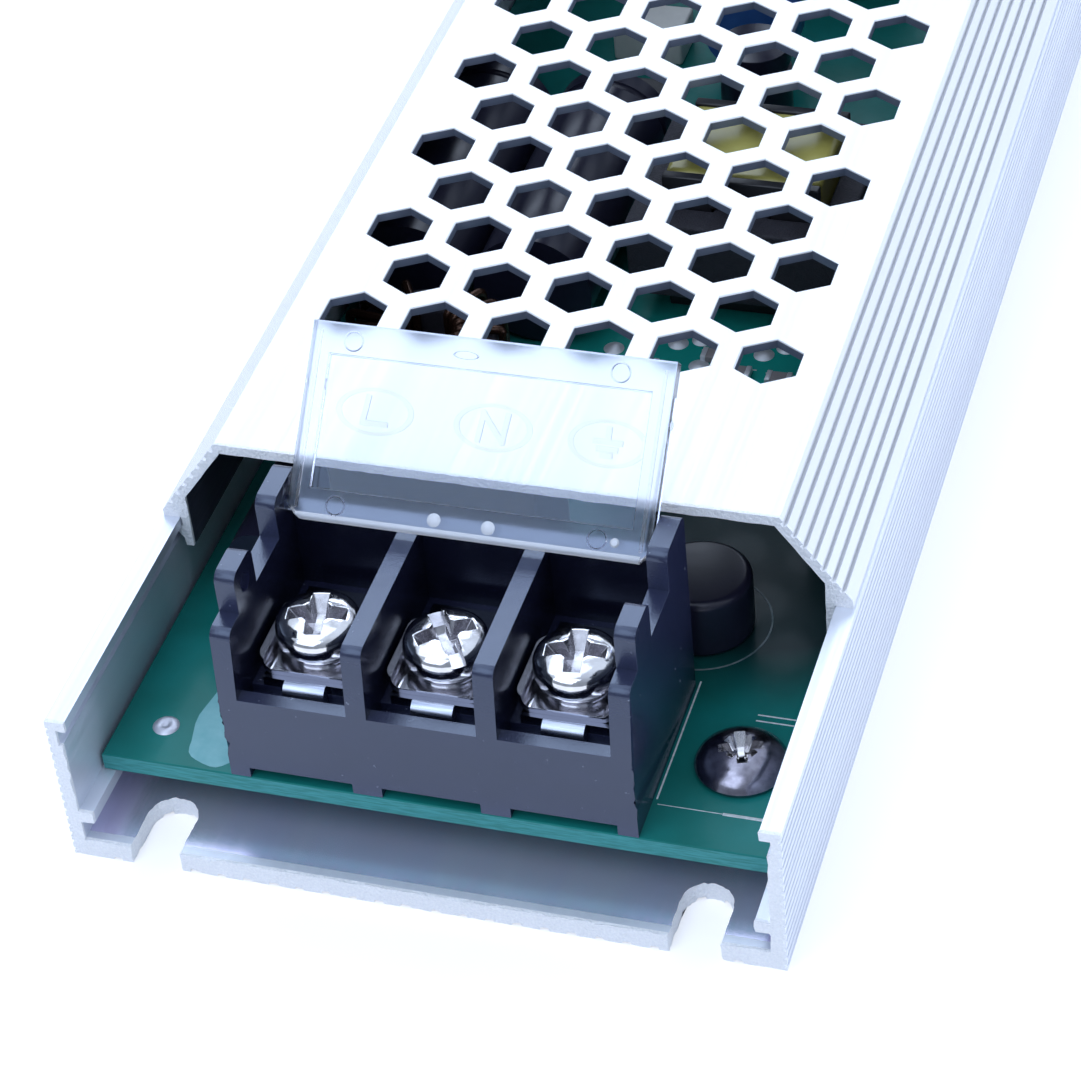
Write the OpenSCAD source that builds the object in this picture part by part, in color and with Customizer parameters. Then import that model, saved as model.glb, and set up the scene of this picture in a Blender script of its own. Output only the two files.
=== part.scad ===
// Slim switching power supply in an extruded aluminium case, with a screw terminal block at each end.
// X runs across the case, Y along it with the input end at -Y, and Z up, in millimetres.
// The origin is the bottom centre of the base channel.

/* [Base channel] */
// Length of the base channel
case_len = 190; // [180:1:240]
// Width of the base channel
case_w = 53; // [52:0.5:60]
// Height of the side walls
wall_h = 13.2; // [12:0.1:15]
// Thickness of the side walls
wall_t = 1.05; // [0.9:0.05:1.4]
// Thickness of the floor plate
plate_t = 1.6; // [1.2:0.1:2.4]
// Height of the ledges that carry the board
ledge_h = 4.45; // [4.2:0.05:5.5]
// Thickness of the ledges
ledge_t = 1; // [0.6:0.1:1.6]
// How far the ledges reach in from the walls
ledge_reach = 1.1; // [0.8:0.1:2]
// How far the snap lip reaches in at the top of a wall
lip_reach = 0.45; // [0.3:0.05:0.8]
// Thickness of the snap lip
lip_t = 0.8; // [0.6:0.1:1.2]
// Height of the snap groove under the lip
groove_h = 1.4; // [1:0.1:2]
// Depth of the snap groove in the wall
groove_d = 0.3; // [0.1:0.05:0.4]
// Pitch of the fine ribs on the outside of the walls
wall_rib_pitch = 0.8; // [0.6:0.1:1.6]
// Depth of the fine ribs
wall_rib_d = 0.2; // [0.1:0.05:0.3]
// Pitch of the ridges under the floor plate
floor_ridge_pitch = 2; // [1.5:0.1:4]
// Depth of the ridges under the floor plate
floor_ridge_d = 0.25; // [0.1:0.05:0.5]

/* [Fixing slots] */
// Distance between the two slots of one end
slot_spacing = 40; // [34:0.5:42]
// Width of a slot
slot_w = 3.8; // [3:0.1:4.5]
// Depth of a slot from the end of the channel
slot_d = 5.4; // [4:0.1:8]

/* [Cover] */
// Height of the top of the cover above the underside
cover_h = 20.8; // [19.8:0.1:26]
// Distance from the outside of a wall to the lower edge of the cover
cover_edge_gap = 0.2; // [0:0.05:0.4]
// Width of each slope of the cover
cover_slope_w = 5.1; // [4:0.1:7]
// Wall thickness of the cover
cover_t = 0.8; // [0.7:0.05:1.2]
// Height of the blunt lower edges
cover_edge_h = 0.6; // [0.4:0.1:1]
// Distance from each end of the channel to the cover
cover_setback = 22.7; // [21:0.1:30]
// Pitch of the ribs down the slopes
cover_rib_pitch = 1.14; // [0.8:0.02:2]
// Depth of the ribs down the slopes
cover_rib_d = 0.3; // [0.1:0.05:0.4]
// Thickness of the hook legs inside the walls
hook_t = 0.65; // [0.5:0.05:1]
// How far the hook legs reach below the wall tops
hook_reach = 2.7; // [2.4:0.1:3.6]
// Clearance between the hook legs and the snap lip
hook_gap = 0.08; // [0.03:0.01:0.15]

/* [Vents] */
// Distance between neighbouring vents
vent_pitch = 6.5; // [5.5:0.1:7]
// Vent size across its flats
vent_flat = 4.6; // [3:0.1:5.2]
// Distance from the input end to the first row, and from the output end to the last
vent_start = 39.8; // [34:0.2:60]
// Distance from the edge of the flat top to the nearest vent
vent_margin = 2.2; // [1:0.1:6]

/* [Board] */
// Thickness of the circuit board
board_t = 1.55; // [1:0.05:2]
// Clearance from the board to the walls
board_gap = 0.25; // [0.1:0.05:0.5]
// Distance from each end of the channel to the board
board_inset = 4.5; // [4.2:0.1:8]
// Thickness of the insulating sheet on the floor plate
sheet_t = 0.4; // [0.2:0.1:0.8]
// Clearance between the standoffs and the insulating sheet
sheet_gap = 0.4; // [0.3:0.1:2]
// Distance from the input end to its board screw
board_screw_y = 12.9; // [9:0.1:17]
// How far that screw stands past the middle between its block and the wall
board_screw_offset = 0.05; // [0:0.05:0.4]
// Place of the output board screw, in from the board's edge and along from the output end
output_board_screw_at = [4.5, 30]; // [4:0.1:36]
// Radius of a board screw's head
board_screw_head_r = 3.4; // [2.6:0.1:3.6]
// Height of the straight side of a board screw's head
board_screw_side_h = 0.4; // [0.2:0.1:0.8]
// Height of the dome on a board screw's head
board_screw_dome_h = 1.6; // [1.2:0.1:2.2]
// Radius of a board screw's shank
board_screw_r = 1.5; // [1:0.1:1.6]
// Radius of the plated holes for the board screws
board_hole_r = 1.7; // [1.65:0.05:2]
// Radius of a standoff
standoff_r = 2.75; // [2.2:0.05:3.5]
// Place of the plated test hole, in from the board's left edge and along from the input end
test_hole_at = [3.6, 8.2]; // [2:0.1:9]
// Radius of the plated test hole
test_hole_r = 0.5; // [0.3:0.1:0.8]

/* [Terminal blocks] */
// Distance between neighbouring poles
pole_pitch = 9.5; // [9:0.1:9.8]
// Thickness of the barriers between poles
barrier_t = 1.5; // [1.2:0.1:1.8]
// Thickness of the end walls
end_wall_t = 1.5; // [1.3:0.1:1.8]
// How far a block runs past the outer edges of its poles
block_margin = 0.85; // [0.75:0.05:1]
// Depth of a block along the case
block_depth = 15.5; // [15:0.1:16.4]
// Shift of the output block away from the indicator
output_shift = -1.2; // [-2:0.1:-1]
// Height of the feet under a block
foot_h = 0.9; // [0.5:0.1:1.4]
// Width of the feet under a block
foot_w = 2.2; // [1.6:0.1:3]
// Height of the front lip above the board
shelf_h = 7.5; // [7:0.1:8]
// Thickness of the front lip
shelf_lip_t = 1.1; // [0.7:0.1:1.3]
// Height of the trough behind the front lip
trough_h = 5.9; // [4.5:0.1:6.1]
// Height of the seats under the contacts
seat_h = 6.6; // [6.3:0.1:7]
// Distance from the block's front to the contact seats
seat_y = 2.8; // [2.5:0.1:3.1]
// Thickness of the closed rear wall
rear_wall_t = 1.5; // [1:0.1:2]
// Height of the barriers above the board
barrier_h = 13.2; // [12.9:0.1:13.3]
// How far the top front corner of a barrier stands back
barrier_lean = 0.6; // [0:0.1:1]
// Height of the ears above the board
ear_h = 16.5; // [16.2:0.1:18]
// Length of a front ear
front_ear_len = 3.5; // [2.6:0.1:4]
// Length of a rear ear
rear_ear_len = 4.5; // [3.8:0.1:5]
// Radius of the corners of barriers and ears
corner_r = 0.8; // [0.3:0.1:1]
// Distance from the block's front to the screws
screw_y = 6.5; // [6.3:0.1:6.7]

/* [Contacts and screws] */
// Thickness of a contact
contact_t = 0.8; // [0.6:0.1:1]
// Width of a contact plate
contact_w = 6.4; // [5:0.1:7]
// Width of the folded tab at a contact's front
tab_w = 3.05; // [2:0.05:4]
// Distance from the block's front to the back of a contact
contact_back = 12.6; // [11.5:0.1:13.2]
// Width of a solder leg
leg_w = 1.2; // [0.8:0.1:2]
// How far a solder leg stands out under the board
leg_proud = 1.2; // [0.6:0.1:1.6]
// Clearance around a solder leg
leg_gap = 0.12; // [0.05:0.01:0.3]
// Thickness of a clamp washer
clamp_t = 0.5; // [0.4:0.05:0.7]
// Width of a clamp washer over its turned-up sides
clamp_w = 7.4; // [7.3:0.1:7.5]
// Depth of a clamp washer along the case
clamp_d = 6.6; // [5.6:0.1:7]
// How far the sides of a clamp washer turn up
clamp_rise = 0.8; // [0.5:0.1:1.8]
// Inner radius of the turned-up sides
clamp_bend_r = 0.7; // [0.4:0.1:0.8]
// Radius of the corners of a clamp washer
clamp_corner_r = 1.1; // [0.6:0.1:1.4]
// Thickness of a lock washer
lock_t = 0.7; // [0.5:0.1:0.8]
// Outer radius of a lock washer
lock_r = 2.45; // [2:0.05:2.5]
// Gap in a lock washer
lock_slit = 0.4; // [0.2:0.1:0.8]
// Radius of a terminal screw's shank
screw_r = 1.5; // [1.2:0.1:1.6]
// Length of a terminal screw under its head
screw_len = 6; // [5:0.1:6.4]
// Radius of a terminal screw's head
head_r = 3.1; // [2.7:0.05:3.15]
// Height of the straight side of the head
head_side_h = 1.3; // [0.8:0.1:1.4]
// Height of the dome on the head
head_dome_h = 1.1; // [0.6:0.1:1.2]
// Width of the arms of a recess
recess_w = 1; // [0.6:0.1:1.4]
// Depth of the cross recess
recess_d = 1.5; // [0.8:0.1:1.8]
// Depth of the slot across the head
recess_slot_d = 0.8; // [0.4:0.1:1]
// Clearance around a screw's shank in its contact
thread_gap = 0.05; // [0.02:0.01:0.1]
// Clearance around a screw's shank in its washers
washer_gap = 0.15; // [0.05:0.05:0.3]
// Clearance around a screw in its well in the block
well_gap = 0.4; // [0.2:0.1:0.6]

/* [Flip lids] */
// Thickness of a lid
lid_t = 1.2; // [1:0.1:1.2]
// Length of a lid from its hinge to its free edge
lid_reach = 13.1; // [11:0.1:13.2]
// Length of a lid behind its hinge
lid_tail = 1.1; // [0.8:0.05:1.15]
// Height of the hinge above the board
hinge_h = 14.75; // [14.7:0.05:15]
// Clearance between a lid and the end walls
lid_gap = 0.2; // [0.15:0.05:0.4]
// Radius of the hinge pins
hinge_pin_r = 0.6; // [0.4:0.05:0.7]
// How far a hinge pin reaches into its ear
hinge_pin_len = 1; // [0.6:0.05:1.1]
// Radial clearance of a hinge pin
hinge_gap = 0.05; // [0.02:0.01:0.1]
// Width of a lid's rim along its sides
lid_rim_side = 1.5; // [1:0.1:2]
// Width of a lid's rim along its free edge and its hinge edge
lid_rim_end = 2.3; // [1.5:0.1:3]
// Depth of the panel below the rim
lid_recess = 0.4; // [0.2:0.1:0.5]
// Distance from the hinge to the snap bumps and their dimples
snap_reach = 8.7; // [8.4:0.1:9]
// Radius of a snap bump
bump_r = 0.6; // [0.4:0.05:0.6]
// How far a snap bump stands out
bump_proud = 0.15; // [0.1:0.01:0.18]
// Depth of the dimples in the front ears
dimple_d = 0.5; // [0.3:0.1:0.8]
// How far the open input lid leans back past upright
lid_lean = 45; // [0:1:50]

/* [Mains side parts] */
// Clearance between tall parts and the inside of the cover
head_gap = 1.2; // [0.6:0.1:2]
// Place of the fuse, in from the board's left edge and along from the input end
fuse_at = [5.7, 29]; // [4:0.1:32]
// Radius and length of the fuse
fuse_size = [2.6, 11]; // [2:0.1:13]
// Place of the mains filter capacitor from the middle of the input end
filter_cap_at = [-5.5, 28.5]; // [-12:0.1:34]
// Size of the mains filter capacitor across and along the case
filter_cap_size = [16, 7.5]; // [5:0.1:17]
// Place of the round choke, in from the board's right edge and along from the input end
drum_at = [11.2, 26.6]; // [8:0.1:30]
// Radius of the round choke
drum_r = 3.8; // [3.5:0.1:5.2]
// Height of the round choke
drum_h = 5.2; // [4:0.1:10]
// Place of the surge varistor, in from the board's left edge and along from the input end
varistor_at = [10.7, 37.4]; // [8:0.1:38]
// Radius and thickness of the surge varistor
varistor_size = [4.6, 3.6]; // [3:0.1:5]
// Place of the ring choke, in from the board's left edge and along from the input end
ring_choke_at = [11.2, 47.4]; // [9:0.1:48]
// Inner radius, outer radius and height of the ring choke's core
ring_choke_size = [3.2, 6, 6.5]; // [2.8:0.1:8]
// Thickness of a winding on a ring core
winding_t = 0.8; // [0.5:0.1:1]
// Clearance between a winding and its core
winding_gap = 0.1; // [0.05:0.01:0.2]
// Angle that each winding of the ring choke covers
filter_winding_span = 140; // [60:5:160]
// Place of the small film capacitor
film_cap_at = [4.5, 44]; // [0:0.1:50]
// Size of the small film capacitor
film_cap_size = [6, 3.2, 5]; // [3:0.1:9]
// Place of the bridge rectifier, in from the board's right edge and along from the input end
bridge_at = [4.6, 45.5]; // [3:0.1:48]
// Size of the bridge rectifier across and along the case
bridge_size = [3.4, 15]; // [3:0.1:16]
// Distance from the board's left edge to the first bulk capacitor
bulk_edge = 1.8; // [1:0.1:3]
// Clearance between the bulk capacitors
bulk_gap = 0.4; // [0.2:0.1:0.5]
// Distance from the input end to the bulk capacitors
bulk_y = 57; // [56:0.5:64]
// Length of a bulk capacitor
bulk_len = 25; // [16:0.5:27]
// Radius of a bulk capacitor
bulk_r = 5; // [4:0.1:5.4]
// Place of the switching transistor's heat bar, in from the board's right edge and along from the input end
primary_bar_at = [2.8, 96]; // [2:0.1:110]
// Thickness and length of a heat bar
bar_size = [2, 22]; // [1.6:0.1:24]
// Thickness and width of a power package
package_size = [4.4, 10]; // [4:0.1:12]
// How much lower packages and heat bars are than the tall parts
package_drop = 2.5; // [1:0.1:4]
// Place of the controller chip
controller_at = [-9, 92]; // [-18:0.1:95]
// Size of the controller chip
controller_size = [5, 4, 1.6]; // [1.2:0.1:6]
// Place of the auxiliary capacitor
aux_cap_at = [3, 88]; // [-1:0.1:90]
// Radius of the auxiliary capacitor
aux_cap_r = 3.1; // [2:0.1:4]

/* [Transformer] */
// Distance from the input end to the middle of the transformer
transformer_y = 69.8; // [66:0.1:70]
// Clearance between the transformer and the bulk capacitors
transformer_gap = 1.8; // [0.6:0.1:3]
// Width and length of the ferrite core
core_size = [18, 17]; // [15:0.1:19]
// Height of the ferrite core
core_h = 7; // [5:0.1:8]
// Width of the core's outer legs
core_leg_w = 2.4; // [2:0.1:3]
// Width of the core's middle leg
core_mid_w = 4.6; // [3:0.1:5]
// Thickness of the core's end walls
core_back_t = 2.6; // [2:0.1:3]
// Thickness of the bobbin's flanges
flange_t = 0.9; // [0.6:0.1:1.2]
// Clearance between core, bobbin and winding
core_gap = 0.15; // [0.05:0.05:0.3]

/* [Output side parts] */
// Place of the safety capacitor from the middle of the input end
safety_cap_at = [0, 99]; // [-4:0.1:102]
// Radius and thickness of the safety capacitor
safety_cap_size = [4.2, 3.6]; // [3:0.1:5]
// Place of the optocoupler from the middle of the input end
optocoupler_at = [-10, 101]; // [-16:0.1:103]
// Size of the optocoupler
optocoupler_size = [6.4, 4.6, 3.4]; // [3:0.1:7]
// Place of the output rectifier's heat bar, in from the board's edge and along from the output end
secondary_bar_at = [2.8, 66]; // [2:0.1:72]
// Place of the output choke from the middle of the output end
output_choke_at = [-3, 71]; // [-6:0.1:73]
// Inner radius, outer radius and height of the output choke's core
output_choke_size = [3.6, 7.2, 7]; // [3:0.1:8]
// Angle that the output choke's winding covers
output_winding_span = 300; // [120:5:330]
// Place of the middle output capacitor from the middle of the output end
output_cap_at = [-2, 48]; // [-6:0.1:52]
// Distance between neighbouring output capacitors
output_cap_pitch = 11.5; // [10.4:0.1:12]
// Radius of an output capacitor
output_cap_r = 4.9; // [3:0.1:5]
// Place of the indicator, in from the board's edge and along from the output end
led_at = [2.2, 18.5]; // [2:0.1:22]
// Radius and height of the indicator
led_size = [1.5, 5]; // [1:0.1:6]
// Size of the small chip parts
chip_size = [2, 1.25, 0.6]; // [0.5:0.05:3]

/* [Hidden] */

$fn = 48;
// Overlap of a cut past the face that it opens
cut = 1;
hex_sides = 6;
input_poles = 3;
output_poles = 4;
lid_closed = 0;
lid_open = -90 - lid_lean;
recess_turns = [22, 68, 8, 40];

// Heights and places across the case
inner_x = case_w / 2 - wall_t;
lip_x = inner_x - lip_reach;
groove_top = wall_h - lip_t;
floor_ridges = floor(inner_x / floor_ridge_pitch);
wall_ribs = floor(wall_h / wall_rib_pitch);
board_top = ledge_h + board_t;
board_w = 2 * (inner_x - board_gap);
board_len = case_len - 2 * board_inset;
cover_len = case_len - 2 * cover_setback;
cover_w = case_w - 2 * cover_edge_gap;
cover_flat_w = cover_w - 2 * cover_slope_w;
headroom = cover_h - cover_t - board_top;
tall_h = headroom - head_gap;
package_h = tall_h - package_drop;
bulk_lift = 0.3;
bulk_pitch = 2 * bulk_r + bulk_gap;
transformer_x = bulk_edge + 2 * bulk_r + bulk_pitch + transformer_gap + core_size[0] / 2;

// Slope of the cover, from the edge of its flat top to its blunt lower edge
slope = [cover_slope_w, wall_h + cover_edge_h - cover_h];
slope_len = norm(slope);
slope_ribs = floor(slope_len / cover_rib_pitch);
slope_dir = slope / slope_len;
slope_in = [slope_dir[1], -slope_dir[0]];
slope_angle = atan2(-slope[1], slope[0]);
leg_out_x = lip_x - hook_gap;
leg_in_x = leg_out_x - hook_t;
barb_x = inner_x + groove_d - hook_gap;
barb_top = groove_top - hook_gap;
barb_bottom = wall_h - hook_reach + hook_t;
cover_in_x = cover_flat_w / 2 - cover_t * tan(slope_angle / 2);
leg_top = cover_h - cover_t - (leg_in_x - cover_in_x) * tan(slope_angle);

// Vents
vent_row_pitch = vent_pitch * sin(360 / hex_sides);
vent_rows = floor((case_len - 2 * vent_start) / vent_row_pitch) + 1;
vent_turn = 180 / hex_sides;
vent_r = vent_flat / 2 / cos(vent_turn);
vent_cols = floor((cover_flat_w - 2 * (vent_margin + vent_r)) / vent_pitch) + 1;

// Terminal heights above the board and places behind the block's front
contact_top = seat_h + contact_t;
clamp_top = contact_top + clamp_t;
head_bottom = clamp_top + lock_t;
well_floor = head_bottom - screw_len - well_gap;
hinge_y = block_depth - rear_ear_len / 2;
snap_y = hinge_y - snap_reach;
board_screw_x = (block_len(input_poles) / 2 + inner_x) / 2 + board_screw_offset;

// Sizes inside the transformer's core
winding_w = core_size[0] - 2 * core_leg_w - 2 * core_gap;
winding_len = core_size[1] - 2 * core_back_t - 2 * core_gap;
core_z = (tall_h - core_h) / 2;

// Places of the small chip parts from the middle of the input end
chip_places = [[10.4, 53.4], [12.6, 55.6], [4.2, 53], [1.6, 55.4], [6.8, 57.6], [9.2, 55.8], [14.2, 51.6], [13, 40.5]];
lead_r = 0.4;
lead_pitch = 5;
can_groove_r = 0.4;
can_groove_below_top = 2;
arc_steps = 6;
// Shares of a rib's pitch at which its groove starts, is full depth, ends that and closes
groove_span = [0.35, 0.42, 0.68, 0.75];

// Outlines

function mirrored(path) = [for (i = [len(path) - 1:-1:0]) [-path[i][0], path[i][1]]];

// Points of an arc around c, from angle a to angle b
function arc(c, r, a, b) = [
    for (i = [0:arc_steps])
        let (t = a + (b - a) * i / arc_steps)
        c + r * [cos(t), sin(t)]
];

// Grooves side by side: each point is a distance along the surface and a depth below it
function grooves(count, pitch, depth) = [
    for (i = [0:count - 1])
        each [
            [(i + groove_span[0]) * pitch, 0],
            [(i + groove_span[1]) * pitch, depth],
            [(i + groove_span[2]) * pitch, depth],
            [(i + groove_span[3]) * pitch, 0]
        ]
];

function base_half() = concat(
    grooves(floor_ridges, floor_ridge_pitch, floor_ridge_d),
    [[case_w / 2, 0]],
    [for (g = grooves(wall_ribs, wall_rib_pitch, wall_rib_d)) [case_w / 2 - g[1], g[0]]],
    [
        [case_w / 2, wall_h],
        [lip_x, wall_h],
        [lip_x, groove_top],
        [inner_x + groove_d, groove_top],
        [inner_x + groove_d, groove_top - groove_h],
        [inner_x, groove_top - groove_h],
        [inner_x, ledge_h],
        [inner_x - ledge_reach, ledge_h],
        [inner_x - ledge_reach, ledge_h - ledge_t],
        [inner_x, ledge_h - ledge_t],
        [inner_x, plate_t]
    ]
);

// A point on the cover's slope, s down from the flat top and d below the surface
function on_slope(s, d) = [cover_flat_w / 2, cover_h] + s * slope_dir + d * slope_in;

function cover_half() = concat(
    [[cover_flat_w / 2, cover_h]],
    [for (g = grooves(slope_ribs, cover_rib_pitch, cover_rib_d)) on_slope(g[0], g[1])],
    [
        [cover_w / 2, wall_h + cover_edge_h],
        [cover_w / 2, wall_h],
        [leg_out_x, wall_h],
        [leg_out_x, barb_top],
        [barb_x, barb_top],
        [leg_out_x, barb_bottom],
        [leg_out_x, wall_h - hook_reach],
        [leg_in_x, wall_h - hook_reach],
        [leg_in_x, leg_top],
        [cover_in_x, cover_h - cover_t]
    ]
);

// Side view of a barrier: the front edge leans back a little to a round corner
function barrier_outline() = concat(
    [[0, 0], [0, shelf_h]],
    arc([barrier_lean + corner_r, barrier_h - corner_r], corner_r, 180, 90),
    [[block_depth, barrier_h], [block_depth, 0]]
);

// Side view of an ear around y, standing on the barrier line
function ear_outline(y, length) = concat(
    [[y - length / 2, 0]],
    arc([y - length / 2 + corner_r, ear_h - corner_r], corner_r, 180, 90),
    arc([y + length / 2 - corner_r, ear_h - corner_r], corner_r, 90, 0),
    [[y + length / 2, 0]]
);

// Side view of the block between its barriers
function block_outline() = [
    [0, foot_h],
    [0, shelf_h],
    [shelf_lip_t, shelf_h],
    [shelf_lip_t, trough_h],
    [seat_y, trough_h],
    [seat_y, seat_h],
    [block_depth - rear_wall_t, seat_h],
    [block_depth - rear_wall_t, barrier_h],
    [block_depth, barrier_h],
    [block_depth, foot_h]
];

// Side view of a contact's folded front tab
function tab_outline() = concat(
    [[seat_y - contact_t, trough_h]],
    arc([seat_y, seat_h], contact_t, 180, 90),
    [[seat_y + contact_t, contact_top], [seat_y + contact_t, seat_h], [seat_y, seat_h], [seat_y, trough_h]]
);

// Front view of the right half of a clamp washer
function clamp_half() = concat(
    arc([clamp_w / 2 - clamp_bend_r - clamp_t, clamp_bend_r + clamp_t], clamp_bend_r + clamp_t, -90, 0),
    [[clamp_w / 2, clamp_t + clamp_rise], [clamp_w / 2 - clamp_t, clamp_t + clamp_rise]],
    arc([clamp_w / 2 - clamp_bend_r - clamp_t, clamp_bend_r + clamp_t], clamp_bend_r, 0, -90)
);

function block_len(poles) = poles * pole_pitch + 2 * block_margin;
function pole_x(poles, i) = (i - (poles - 1) / 2) * pole_pitch;
function divider_x(poles, i) = (i - poles / 2) * pole_pitch;
function lid_w(poles) = block_len(poles) - 2 * end_wall_t - 2 * lid_gap;

// Placing

module along_x(length) {
    translate([-length / 2, 0, 0]) rotate([90, 0, 90]) linear_extrude(length) children();
}

module along_y(length) {
    translate([0, length / 2, 0]) rotate([90, 0, 0]) linear_extrude(length) children();
}

module at_input() {
    translate([0, -case_len / 2, 0]) children();
}

module at_output() {
    rotate([0, 0, 180]) at_input() children();
}

module both_ends() {
    at_input() children();
    at_output() children();
}

module both_sides() {
    children();
    mirror([1, 0, 0]) children();
}

// On top of the board, at a place measured from the middle of one end
module on_board(at) {
    translate([at[0], at[1], board_top]) children();
}

// On top of the board, in from its left or right edge and along from one end
module from_left(at) {
    on_board([at[0] - board_w / 2, at[1]]) children();
}

module from_right(at) {
    on_board([board_w / 2 - at[0], at[1]]) children();
}

module at_board_screws() {
    at_input() on_board([board_screw_x, board_screw_y]) children();
    at_output() from_right(output_board_screw_at) children();
}

module at_input_block() {
    at_input() on_board([0, board_inset]) children();
}

module at_output_block() {
    at_output() on_board([output_shift, board_inset]) children();
}

module at_pole(poles, i) {
    translate([pole_x(poles, i), screw_y, 0]) children();
}

// Box standing on the board, centred on its place
module block(size) {
    translate([-size[0] / 2, -size[1] / 2, 0]) cube(size);
}

// Case

module base_channel() {
    color("gainsboro") difference() {
        along_y(case_len) polygon(concat(base_half(), mirrored(base_half())));
        both_ends() both_sides() translate([slot_spacing / 2, 0, -cut]) {
            translate([0, slot_d - slot_w / 2, 0]) cylinder(r = slot_w / 2, h = plate_t + 2 * cut);
            translate([-slot_w / 2, -cut, 0]) cube([slot_w, slot_d - slot_w / 2 + cut, plate_t + 2 * cut]);
        }
    }
}

module vent_row(cols) {
    for (col = [0:cols - 1])
        translate([(col - (cols - 1) / 2) * vent_pitch, 0, 0])
            rotate([0, 0, vent_turn]) cylinder(r = vent_r, h = cover_t + 2 * cut, $fn = hex_sides);
}

module top_cover() {
    color("whitesmoke") difference() {
        along_y(cover_len) polygon(concat(cover_half(), mirrored(cover_half())));
        at_input() for (row = [0:vent_rows - 1])
            translate([0, vent_start + row * vent_row_pitch, cover_h - cover_t - cut])
                vent_row(vent_cols - row % 2);
    }
}

// Board and what holds it

module insulating_sheet() {
    sheet_w = 2 * (inner_x - ledge_reach - board_gap);
    sheet_inset = board_screw_y + standoff_r + sheet_gap;
    sheet_len = case_len - 2 * sheet_inset;
    color("ivory") translate([0, 0, plate_t]) difference() {
        translate([-sheet_w / 2, -sheet_len / 2, 0]) cube([sheet_w, sheet_len, sheet_t]);
        at_output() from_right(output_board_screw_at) translate([0, 0, -board_top - cut])
            cylinder(r = standoff_r + sheet_gap, h = sheet_t + 2 * cut);
    }
}

module solder_leg_holes(poles) {
    for (i = [0:poles - 1])
        translate([pole_x(poles, i), contact_back - contact_t / 2, -board_t - cut])
            block([leg_w + 2 * leg_gap, contact_t + 2 * leg_gap, board_t + 2 * cut]);
}

module circuit_board() {
    color("seagreen") difference() {
        translate([-board_w / 2, -board_len / 2, ledge_h]) cube([board_w, board_len, board_t]);
        at_board_screws() translate([0, 0, -board_t - cut]) cylinder(r = board_hole_r, h = board_t + 2 * cut);
        at_input() from_left(test_hole_at) translate([0, 0, -board_t - cut])
            cylinder(r = test_hole_r, h = board_t + 2 * cut);
        at_input_block() solder_leg_holes(input_poles);
        at_output_block() solder_leg_holes(output_poles);
    }
}

module board_standoffs() {
    color("silver") at_board_screws() translate([0, 0, plate_t - board_top]) difference() {
        cylinder(r = standoff_r, h = ledge_h - plate_t);
        translate([0, 0, -cut]) cylinder(r = board_screw_r + thread_gap, h = ledge_h - plate_t + 2 * cut);
    }
}

// Domed head whose underside is at z = 0, with a turned cross recess and, if slotted, a slot across it
module domed_head(r, side_h, dome_h, turn, slotted) {
    dome_r = (r * r + dome_h * dome_h) / (2 * dome_h);
    top = side_h + dome_h;
    difference() {
        intersection() {
            cylinder(r = r, h = top);
            translate([0, 0, top - dome_r]) sphere(r = dome_r);
        }
        rotate([0, 0, turn]) for (quarter = [0, 90]) rotate([0, 0, quarter]) translate([0, 0, top - recess_d])
            block([recess_w, r + recess_w / 2, recess_d + cut]);
        if (slotted) rotate([0, 0, turn]) translate([0, 0, top - recess_slot_d])
            block([recess_w, 2 * r + cut, recess_slot_d + cut]);
    }
}

module board_screws() {
    shank_len = board_top - plate_t - sheet_t;
    color("dimgray") at_board_screws() {
        domed_head(board_screw_head_r, board_screw_side_h, board_screw_dome_h, recess_turns[0], false);
        translate([0, 0, -shank_len]) cylinder(r = board_screw_r, h = shank_len + board_screw_side_h / 2);
    }
}

// Terminal blocks

module terminal_block(poles) {
    length = block_len(poles);
    color("black") difference() {
        union() {
            along_x(length) polygon(block_outline());
            for (i = [1:poles - 1]) translate([divider_x(poles, i), 0, 0]) {
                along_x(barrier_t) polygon(barrier_outline());
                along_x(foot_w) square([block_depth, foot_h]);
            }
            both_sides() translate([length / 2 - end_wall_t / 2, 0, 0]) {
                along_x(end_wall_t) polygon(barrier_outline());
                along_x(end_wall_t) polygon(ear_outline(snap_y, front_ear_len));
                along_x(end_wall_t) polygon(ear_outline(hinge_y, rear_ear_len));
            }
        }
        for (i = [0:poles - 1]) at_pole(poles, i) {
            translate([0, 0, well_floor]) cylinder(r = screw_r + well_gap, h = seat_h - well_floor + cut);
            translate([0, contact_back - contact_t / 2 - screw_y, -cut])
                block([leg_w + 2 * leg_gap, contact_t + 2 * leg_gap, seat_h + 2 * cut]);
        }
        both_sides() translate([length / 2 - end_wall_t, 0, hinge_h]) {
            translate([-cut, hinge_y, 0]) rotate([0, 90, 0])
                cylinder(r = hinge_pin_r + hinge_gap, h = hinge_pin_len + hinge_gap + cut);
            translate([-cut, snap_y, 0]) rotate([0, 90, 0])
                cylinder(r = bump_r + lid_gap, h = dimple_d + cut);
        }
    }
}

module contacts(poles) {
    color("silver") for (i = [0:poles - 1]) difference() {
        union() {
            translate([pole_x(poles, i), (seat_y + contact_back) / 2, seat_h])
                block([contact_w, contact_back - seat_y, contact_t]);
            translate([pole_x(poles, i), 0, 0]) along_x(tab_w) polygon(tab_outline());
            translate([pole_x(poles, i), contact_back - contact_t / 2, -board_t - leg_proud])
                block([leg_w, contact_t, board_t + leg_proud + contact_top]);
        }
        at_pole(poles, i) translate([0, 0, seat_h - cut])
            cylinder(r = screw_r + thread_gap, h = contact_t + 2 * cut);
    }
}

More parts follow.
